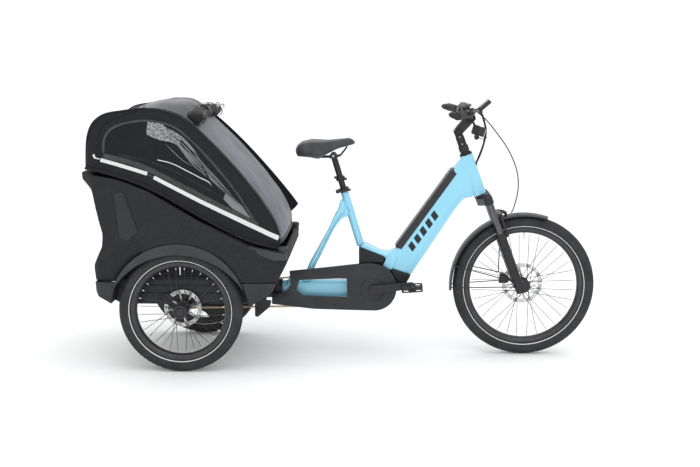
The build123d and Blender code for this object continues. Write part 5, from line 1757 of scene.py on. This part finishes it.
def make_lamp():
    """Headlight: finned housing, lens and its tilt knob."""
    housing = Shape()
    outline = rounded([(-22, -21), (22, -21), (22, 21), (-22, 21)], 9, 6)
    lean = math.radians(-17)

    def lamp_point(x, y, z):
        dx, dz = x - 1266, z - LAMP_Z
        return at(1262 + dx * math.cos(lean) - dz * math.sin(lean), y,
                  LAMP_Z + dx * math.sin(lean) + dz * math.cos(lean))

    for x0, x1, grow in ((1238, 1292, 0), (1244, 1247, 1.3), (1252, 1255, 1.3), (1260, 1263, 1.3)):
        rings = []
        for x in (x0, x1):
            taper = 0.86 if x == 1238 else 1.0
            rings.append([lamp_point(x, y * taper * (1 + grow / 22), LAMP_Z + z * taper * (1 + grow / 21))
                          for y, z in outline])
        housing.skin(rings)
    made = housing.piece("lamp_housing", "lamp_body", "cockpit", edge=1.0)
    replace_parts(made, "headlight")
    rings = []
    for x, size in ((1290, 0.84), (1294, 0.84), (1296.5, 0.7), (1297.5, 0.4)):
        rings.append([lamp_point(x, y * size, LAMP_Z + z * size) for y, z in outline])
    Shape().skin(rings).piece("lamp_lens", "lamp_clear", "cockpit", "lamp_body", smooth=60)
    knob = Shape().rod(at(1252, -32, 970), at(1252, -20, 970), 11, sides=32)
    knob.rod(at(1252, -34, 970), at(1252, -30, 970), 6, sides=20)
    arm = [at(1252, -26, 972), at(1250, -18, 985), at(1246, -8, 1012), on_fork(34, 0, 757)]
    knob.tube(smooth_line(arm, 24), 5, 16)
    wire = [at(1262, -20, 968), at(1276, -12, 962), at(1290, -2, 960), at(1300, 4, 968)]
    knob.tube(smooth_line(wire, 20), 1.6, 8)
    knob.piece("lamp_mount", "control_metal", "cockpit", "lamp_body", smooth=50)


def make_stem():
    """Rounded stem arm, its knuckle covers, and the bolts of the riser and the bar clamp."""
    softened("stem_form", ("stem_head",), 1.6, 5, "control_metal", "cockpit")
    covers = Shape()
    for side in (RIGHT, LEFT):
        covers.lathe([(0.1, -3), (0.1, 2), (8, 2.4), (10, 0.2), (13, 0.2), (15, 3), (17.4, 2.4), (17.6, -3)],
                     on_fork(STEER_X, side * 28.2, 741), 48, axis=ACROSS * side)
    covers.piece("knuckle_covers", "black_metal", "cockpit", "control_metal")
    bolts = Shape()
    for height in (686, 719):
        for side in (RIGHT, LEFT):
            bolts.rod(on_fork(STEER_X, side * 16, height), on_fork(STEER_X, side * 20.4, height), 3.0,
                      sides=20)
    bolts.piece("riser_bolts", "rotor_steel", "stem_riser", "control_metal")
    bolts = Shape()
    for y, height in ((-14, 795), (14, 795), (-14, 767), (14, 767)):
        bolts.rod(on_fork(44, y, height), on_fork(50.5, y, height), 2.8, sides=16)
    bolts.piece("clamp_bolts", "rotor_steel", "cockpit", "control_metal")


make_controls()
make_bell()
make_display()
make_lamp()
make_stem()

# ---- fork, fender and hoses ---------------------------------------------------------
def make_fork():
    softened("fork_crown_form", ("fork_upper",), 2.2, 5, "fork_metal", "steering")
    softened("fork_leg_form", ("fork_lower",), 2.0, 6, "fork_metal", "fork_lower")
    tubes, seals, marks = Shape(), Shape(), Shape()
    for side in (RIGHT, LEFT):
        y = side * LEG_Y
        tubes.rod(on_fork(LEG_X, y, 258), on_fork(LEG_X, y, 402), 16.35, sides=48)
        seals.lathe([(16.3, 0), (20, 0.5), (23.6, 2), (23.6, 7), (20.5, 9), (19, 13), (16.3, 14)],
                    on_fork(LEG_X, y, 252), 48, axis=STEER_UP)
        marks.lathe([(21.2, 0), (21.5, 0.6), (21.5, 5.4), (21.2, 6), (20, 3)],
                    on_fork(LEG_X, y, 196), 48, axis=STEER_UP)
    tubes.piece("stanchion_tubes", "stanchion", "steering", "fork_metal")
    seals.piece("fork_seals", "hose_rubber", "fork_lower", smooth=50)
    marks.piece("leg_bands", "hose_rubber", "steering", "fork_metal")


def make_fender():
    """Guard with rolled edges and a ridge, its bridge clamp and wire stays."""
    rings = []
    for angle in np.radians(np.linspace(71.5, 184.5, 120)):
        ring = []
        out = heading(angle)
        reach = float(np.interp(math.degrees(angle), (70, 110, 185), (318.5, 320, 324)))
        end = min(1, (angle - math.radians(71.5)) * 9 + 0.35, (math.radians(184.5) - angle) * 9 + 0.35)
        section = [(-38, -6), (-37.4, -1), (-33, 2.2), (-20, 3.6), (-9, 4), (-6, 5.6), (6, 5.6), (9, 4),
                   (20, 3.6),
                   (33, 2.2), (37.4, -1), (38, -6), (36, -6), (34, -1.4), (20, 1.4), (0, 2.4), (-20, 1.4),
                   (-34, -1.4), (-36, -6)]
        for y, rise in section:
            ring.append(FRONT_AXLE + out * ((reach + rise) * MM) + ACROSS * (y * end * MM))
        rings.append(ring)
    made = Shape().skin(rings).piece("fender_guard", "fender_plastic", "fork_lower", smooth=50)
    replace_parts(made, "front_fender")
    stays = Shape()
    for side in (RIGHT, LEFT):
        for angle, height in ((163, 50), (181, 23)):
            out = heading(math.radians(angle))
            far = FRONT_AXLE + out * (325 * MM) + ACROSS * (side * 37.5 * MM)
            bend = FRONT_AXLE + out * (300 * MM) + ACROSS * (side * 46 * MM)
            near = on_fork(-42, side * 78, height)
            stays.tube(smooth_line([far, bend, (bend + near) / 2, near], 30), 2.3, 10)
            stays.rod(near - ACROSS * (side * 4 * MM), near + ACROSS * (side * 5 * MM), 5, sides=16)
        brace = [on_fork(4, side * 44, 336), on_fork(10, side * 34, 346), on_fork(24, side * 22, 342),
                 on_fork(34, side * 14, 336)]
        stays.tube(smooth_line(brace, 24), 5, 12)
    stays.rod(on_fork(32, -20, 334), on_fork(32, 20, 334), 7.5, sides=20)
    stays.rod(on_fork(14, -20, 340), on_fork(14, 20, 340), 5, sides=16)
    stays.piece("fender_stays", "black_metal", "fork_lower", "fender_plastic")


def declare_cord(points):
    """Takes a hose's points as vectors; no length is measured or stated."""
    points = [Vector(point) for point in points]


def make_hoses():
    """Front brake hose and the gathered control cables."""
    hose = [(1229, 128, 1083), (1250, 108, 1078), (1296, 86, 1044), (1348, 80, 982), (1402, 80, 906),
            (1440, 82, 820),
            (1451, 88, 735), (1432, 94, 640), (1392, 97, 560), (1376, 96,
                                                                480), (1372, 84, 420), (1368, 56, 385),
            (1366, 45, 362)]
    points = smooth_line([at(x, y, z) for x, y, z in hose], 200)
    made = Shape().tube(points, 2.5, 12).piece("brake_hose_line", "hose_rubber", "fork_lower", smooth=60)
    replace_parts(made, "brake_hose")
    declare_cord(points)
    cables = [(1276, 8, 1068), (1288, 7, 1030), (1294, 5, 992), (1287, 3, 945), (1275, 1, 906),
              (1260, 0, 868),
              (1250, 0, 848)]
    spine = smooth_line([at(x, y, z) for x, y, z in cables], 90)
    bundle = Shape()
    for number in range(4):
        turn = math.pi / 2 * number
        strand = []
        for step, point in enumerate(spine):
            spin = turn + step / 22
            strand.append(Vector(point) + Vector((math.cos(spin) * 0.0024, math.sin(spin) * 0.0024, 0)))
        bundle.tube(strand, 2.7, 10)
    for step in (12, 46, 74):
        bundle.tube([spine[step - 1], spine[step + 1]], 5.4, 16)
    bundle.lathe([(6, 0), (9, 0.5), (10, 3), (8, 6), (6, 6.5)], Vector(spine[-4]), 32,
                 axis=Vector(spine[-1]) - Vector(spine[-6]))
    made = bundle.piece("cable_strands", "hose_rubber", "front_frame", smooth=60)
    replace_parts(made, "cable_bundle")


make_fork()
make_fender()
make_hoses()

# ---- inside the box, and the small parts under it -----------------------------------
CREASE_POINT = (-20, 466)
BENCH_ALONG = (0.9976, 0.0704)
BACK_ALONG = (-0.4662, 0.8847)


def on_seat(y, along, out):
    """A place on the bench (along > 0) or up its back (along < 0), out from its face."""
    ahead = BENCH_ALONG if along > 0 else BACK_ALONG
    normal = (-ahead[1], ahead[0]) if along > 0 else (ahead[1], -ahead[0])
    reach = abs(along)
    return at(CREASE_POINT[0] + ahead[0] * reach + normal[0] * out, y,
              CREASE_POINT[1] + ahead[1] * reach + normal[1] * out)


def cushion(middle, start, end, half, height, seams):
    """A quilted pad: its rows, and which of its points the stitching holds."""
    rings, held = [], []
    rows, columns = 44, 30
    for row in range(rows + 1):
        share = row / rows
        u = share * 2 - 1
        ring = []
        for layer in (1, 0):
            for number in range(columns + 1):
                column = number if layer else columns - number
                v = column / columns * 2 - 1
                corner = 1 - 0.07 * (u * v) ** 6
                along = (start + end) / 2 + (end - start) / 2 * u * corner
                fill = ((1 - u ** 8) * (1 - v ** 8)) ** 0.5
                stitched = min(abs(share - seam) for seam in seams) * abs(end - start)
                groove = 0.35 + 0.65 * min(1, stitched / 13) ** 0.5
                rise = (3 + (height - 3) * fill * groove) if layer else 1
                if not layer or stitched < 2.2 or abs(u) > 0.97 or abs(v) > 0.97:
                    held.append(row * 2 * (columns + 1) + len(ring))
                ring.append(on_seat(middle + half * v * corner, along, rise))
        rings.append(ring)
    return rings, held


def plump(pads):
    """Fills the covers: cloth under pressure, held along its seams and its back."""
    for made, held in pads:
        group = made.vertex_groups.new(name="stitched")
        group.add([number for number in held if number < len(made.data.vertices)], 1.0, "REPLACE")
        cloth = made.modifiers.new("cloth", "CLOTH")
        cloth.settings.quality = 5
        cloth.settings.mass = 0.15
        cloth.settings.tension_stiffness = 14
        cloth.settings.compression_stiffness = 14
        cloth.settings.bending_stiffness = 0.25
        cloth.settings.shrink_min = -0.05
        cloth.settings.use_pressure = True
        cloth.settings.uniform_pressure_force = 1.6
        cloth.settings.vertex_group_mass = "stitched"
    for frame in range(1, 19):
        bpy.context.scene.frame_set(frame)
    for made, _ in pads:
        settle(made)
    bpy.context.scene.frame_set(1)


def strap(path, half):
    """A webbing band along (y, along, out) points: 1.6 mm thick with a raised selvedge."""
    spine = smooth_line([on_seat(*spot) for spot in path], 60)
    rings = []
    for number, point in enumerate(spine):
        point = Vector(point)
        ahead = (Vector(spine[min(number + 1, 59)]) - Vector(spine[max(number - 1, 0)])).normalized()
        out = Vector((0.62, 0, 0.78))
        side = out.cross(ahead).normalized()
        out = ahead.cross(side).normalized()
        section = [(-half, 0.7), (-half + 2, 1.1), (0, 0.8), (half - 2, 1.1), (half, 0.7), (half, -0.7),
                   (0, -0.8),
                   (-half, -0.7)]
        rings.append([point + side * (y * MM) + out * (rise * MM) for y, rise in section])
    return rings


def make_seat():
    softened("bench_form", ("child_seat",), 2.6, 4, "shell_plastic", "rear_module")
    pads = []
    webbing, buckles = Shape(), Shape()
    for label, middle in (("right", -108), ("left", 108)):
        for part, start, end, height, seams in (("seat", 12, 163, 25, (0, 0.36, 0.7, 1)),
                                                ("back", -24, -350, 20, (0, 0.2, 0.4, 0.6, 0.8, 1))):
            rings, held = cushion(middle, start, end, 96, height, seams)
            made = Shape().skin(rings).piece(f"{part}_pad_{label}", "seat_fabric", "rear_module", smooth=70)
            pads.append((made, held))
        for side in (RIGHT, LEFT):
            y = middle + 38 * side
            webbing.skin(strap([(y, -338, 20), (y, -270, 25), (y - 4 * side, -170, 28),
                                (y - 12 * side, -80, 40),
                                (middle + 16 * side, -1, 76)], 12.5))
            webbing.skin(strap([(middle + 92 * side, 8, 8), (middle + 82 * side, 26, 32),
                                (middle + 50 * side, 40, 36),
                                (middle + 20 * side, 44, 40)], 12.5))
            buckles.skin(strap([(y - 3 * side, -180, 29.4), (y - 5 * side, -150, 31.5)], 16))
        webbing.skin(strap([(middle, 120, 24), (middle, 84, 31), (middle, 60, 38)], 12.5))
        centre = on_seat(middle, 44, 42)
        for radius, low, high in ((27, -6, 3), (23, 3, 6.5), (11, 6.5, 8.5)):
            buckles.lathe([(0.1, low), (radius - 2, low), (radius, low + 2), (radius, high - 1.5),
                           (radius - 2, high),
                           (0.1, high)], centre, 40, axis=(-BENCH_ALONG[1], 0, BENCH_ALONG[0]))
    plump(pads)
    straps = webbing.piece("harness_webbing", "webbing", "rear_module", smooth=50)
    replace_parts(straps, "harnesses")
    buckles.piece("harness_buckles", "black_metal", "rear_module", "webbing", smooth=50)


def make_tail_lights():
    """A ribbed red lens in a black surround on each rear corner."""
    lenses, frames = Shape(), Shape()
    for side in (RIGHT, LEFT):
        low, high = sorted((side * 208, side * 260))
        lenses.plate(rounded([(-329, 638), (-316, 594), (-302, 594), (-313, 638)], 4, 4), low, high)
        for number in range(6):
            share = (number + 1) / 7
            x, z = -330 + 14 * share, 638 - 44 * share
            lenses.rod(at(x, low + 3, z), at(x, high - 3, z), 1.6, sides=10)
        rim = [at(-330.5, low - 2, 641), at(-330.5, high + 2, 641), at(-316.5, high + 2, 591),
               at(-316.5, low - 2, 591)]
        frames.tube(smooth_loop(rim), 2.2, 10)
    made = lenses.piece("tail_lenses", "lamp_red", "rear_module", edge=0.5)
    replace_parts(made, "tail_lights")
    frames.piece("tail_surrounds", "shell_plastic", "rear_module", "lamp_red")


def smooth_loop(corners):
    """A closed rectangle's outline with its corners eased."""
    path = []
    count = len(corners)
    for number, corner in enumerate(corners):
        before, after = corners[number - 1], corners[(number + 1) % count]
        for share in np.linspace(0, 1, 6):
            start = corner + (before - corner).normalized() * 0.006
            end = corner + (after - corner).normalized() * 0.006
            path.append((1 - share) ** 2 * start + 2 * share * (1 - share) * corner + share ** 2 * end)
    return path + [path[0]]


def make_callipers():
    """Brake callipers: smoothed bodies with piston covers and bolts."""
    softened("front_calliper_form", ("front_calliper",), 1.2, 5, "control_metal", "fork_lower")
    softened("rear_calliper_form", ("rear_callipers",), 1.3, 5, "control_metal", "rear_module")
    caps = Shape()
    for turn, reach in ((139, 94), (152, 92), (140, 74), (151, 74)):
        angle = math.radians(turn)
        screw(caps, on_fork(reach * math.cos(angle), 59.5, reach * math.sin(angle)), ACROSS, 5.5)
    caps.piece("calliper_caps_front", "black_metal", "fork_lower", "control_metal")
    caps = Shape()
    for side in (RIGHT, LEFT):
        for turn, reach in ((141, 84), (159, 84), (150, 66)):
            angle = math.radians(turn)
            screw(caps, at(reach * math.cos(angle), side * 289.5, REAR_AXLE_Z + reach * math.sin(angle)),
                  ACROSS * side, 5.5)
    caps.piece("calliper_caps_rear", "black_metal", "rear_module", "control_metal")


def make_pedal(node, name):
    """Cage pedal: serrated frame, barrel and end cap, slightly toe-up."""
    corners = [NODES[node].matrix_world @ vertex.co for vertex in NODES[node].data.vertices]
    low = Vector([min(corner[axis] for corner in corners) for axis in range(3)])
    high = Vector([max(corner[axis] for corner in corners) for axis in range(3)])
    middle = (low + high) / 2
    tilt = math.radians(4)

    def spot(x, y, z):
        return middle + Vector((x * math.cos(tilt) - z * math.sin(tilt), y,
                                x * math.sin(tilt) + z * math.cos(tilt))) * MM

    cage = Shape()
    for z in (-8, 8):
        loop = [spot(x, y, z) for x, y in rounded([(-43, -43), (43, -43), (43, 43), (-43, 43)], 12, 6)]
        cage.tube(loop + [loop[0]], 3.2, 12)
        cage.tube([spot(-43, 0, z), spot(43, 0, z)], 3, 12)
    for x, y in ((-40, -40), (40, -40), (40, 40), (-40, 40), (0, -43), (0, 43), (-43, 0), (43, 0),
                 (-14, -43),
                 (14, -43), (-14, 43), (14, 43)):
        cage.rod(spot(x, y, -8), spot(x, y, 8), 3.2, sides=12)
    for x in (-43, 43):
        for number in range(-3, 4):
            for z in (-11, 11):
                cage.rod(spot(x, number * 11, z * 0.6), spot(x, number * 11, z * 1.18), 2.2, 1.2, sides=8)
    cage.lathe([(6.4, -44), (10.5, -44), (11.5, -42), (9, -36), (8.4, 0), (9, 36), (11.5, 42), (10.5, 44),
                (6.4, 44)], middle, 32)
    made = cage.piece(f"pedal_cage_{name}", "black_metal", node, smooth=50)
    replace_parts(made, node)


def make_underside():
    """The metalwork under the box, with softened joints."""
    for node, voxel in (("chassis", 2.4), ("tilt_housing", 2.2), ("drive_case", 2.2)):
        softened(node + "_form", (node,), voxel, 3, SLOT_OF[node], body_of(node))


make_seat()
make_tail_lights()
make_callipers()
for pedal_name, _ in SIDES:
    make_pedal("pedal_" + pedal_name, pedal_name)
make_underside()


# ---- camera, stage and light --------------------------------------------------------
def make_camera():
    data = bpy.data.cameras.new("camera")
    data.sensor_width = 36
    data.lens = 57.97
    camera = bpy.data.objects.new("camera", data)
    camera.location = (0.1549, -4.923, 1.390)
    camera.rotation_euler = (math.pi / 2 - 0.171, 0, 0.029)
    bpy.context.scene.collection.objects.link(camera)
    bpy.context.scene.camera = camera


def make_stage():
    floor = Shape().sheet([[Vector((x, y, 0)) for x in (-140, 140)] for y in (-140, 140)])
    made = mesh_object("floor", floor.points, floor.faces)
    look = Look("floor", (0.93, 0.935, 0.94), 0.6, Specular_IOR_Level=0.1)
    look.tint(look.noise(0.6, 4), 0.98, 1.01)
    made.data.materials.append(look.material)


def make_lights():
    world = bpy.data.worlds.new("studio")
    world.use_nodes = True
    background = world.node_tree.nodes["Background"]
    background.inputs["Color"].default_value = (1, 1, 1, 1)
    background.inputs["Strength"].default_value = 1.04
    bpy.context.scene.world = world
    data = bpy.data.lights.new("sky", "SUN")
    data.energy = 0.45
    data.angle = math.radians(80)
    bpy.context.scene.collection.objects.link(bpy.data.objects.new("sky", data))
    for name, place, size, power in (("overhead", (0.2, -0.4, 4.2), 4.5, 35),
                                     ("front", (1.0, -4.5, 3.0), 3.0, 30)):
        data = bpy.data.lights.new(name, "AREA")
        data.shape = "SQUARE"
        data.size = size
        data.energy = power
        light = bpy.data.objects.new(name, data)
        light.location = place
        light.rotation_euler = (Vector((0, 0, 0.5)) - Vector(place)).to_track_quat("-Z", "Y").to_euler()
        bpy.context.scene.collection.objects.link(light)
    bpy.context.scene.view_settings.view_transform = "Standard"


make_camera()
make_stage()
make_lights()

for node_name, node in sorted(NODES.items()):
    if not node.hide_render:
        carry(node_name)
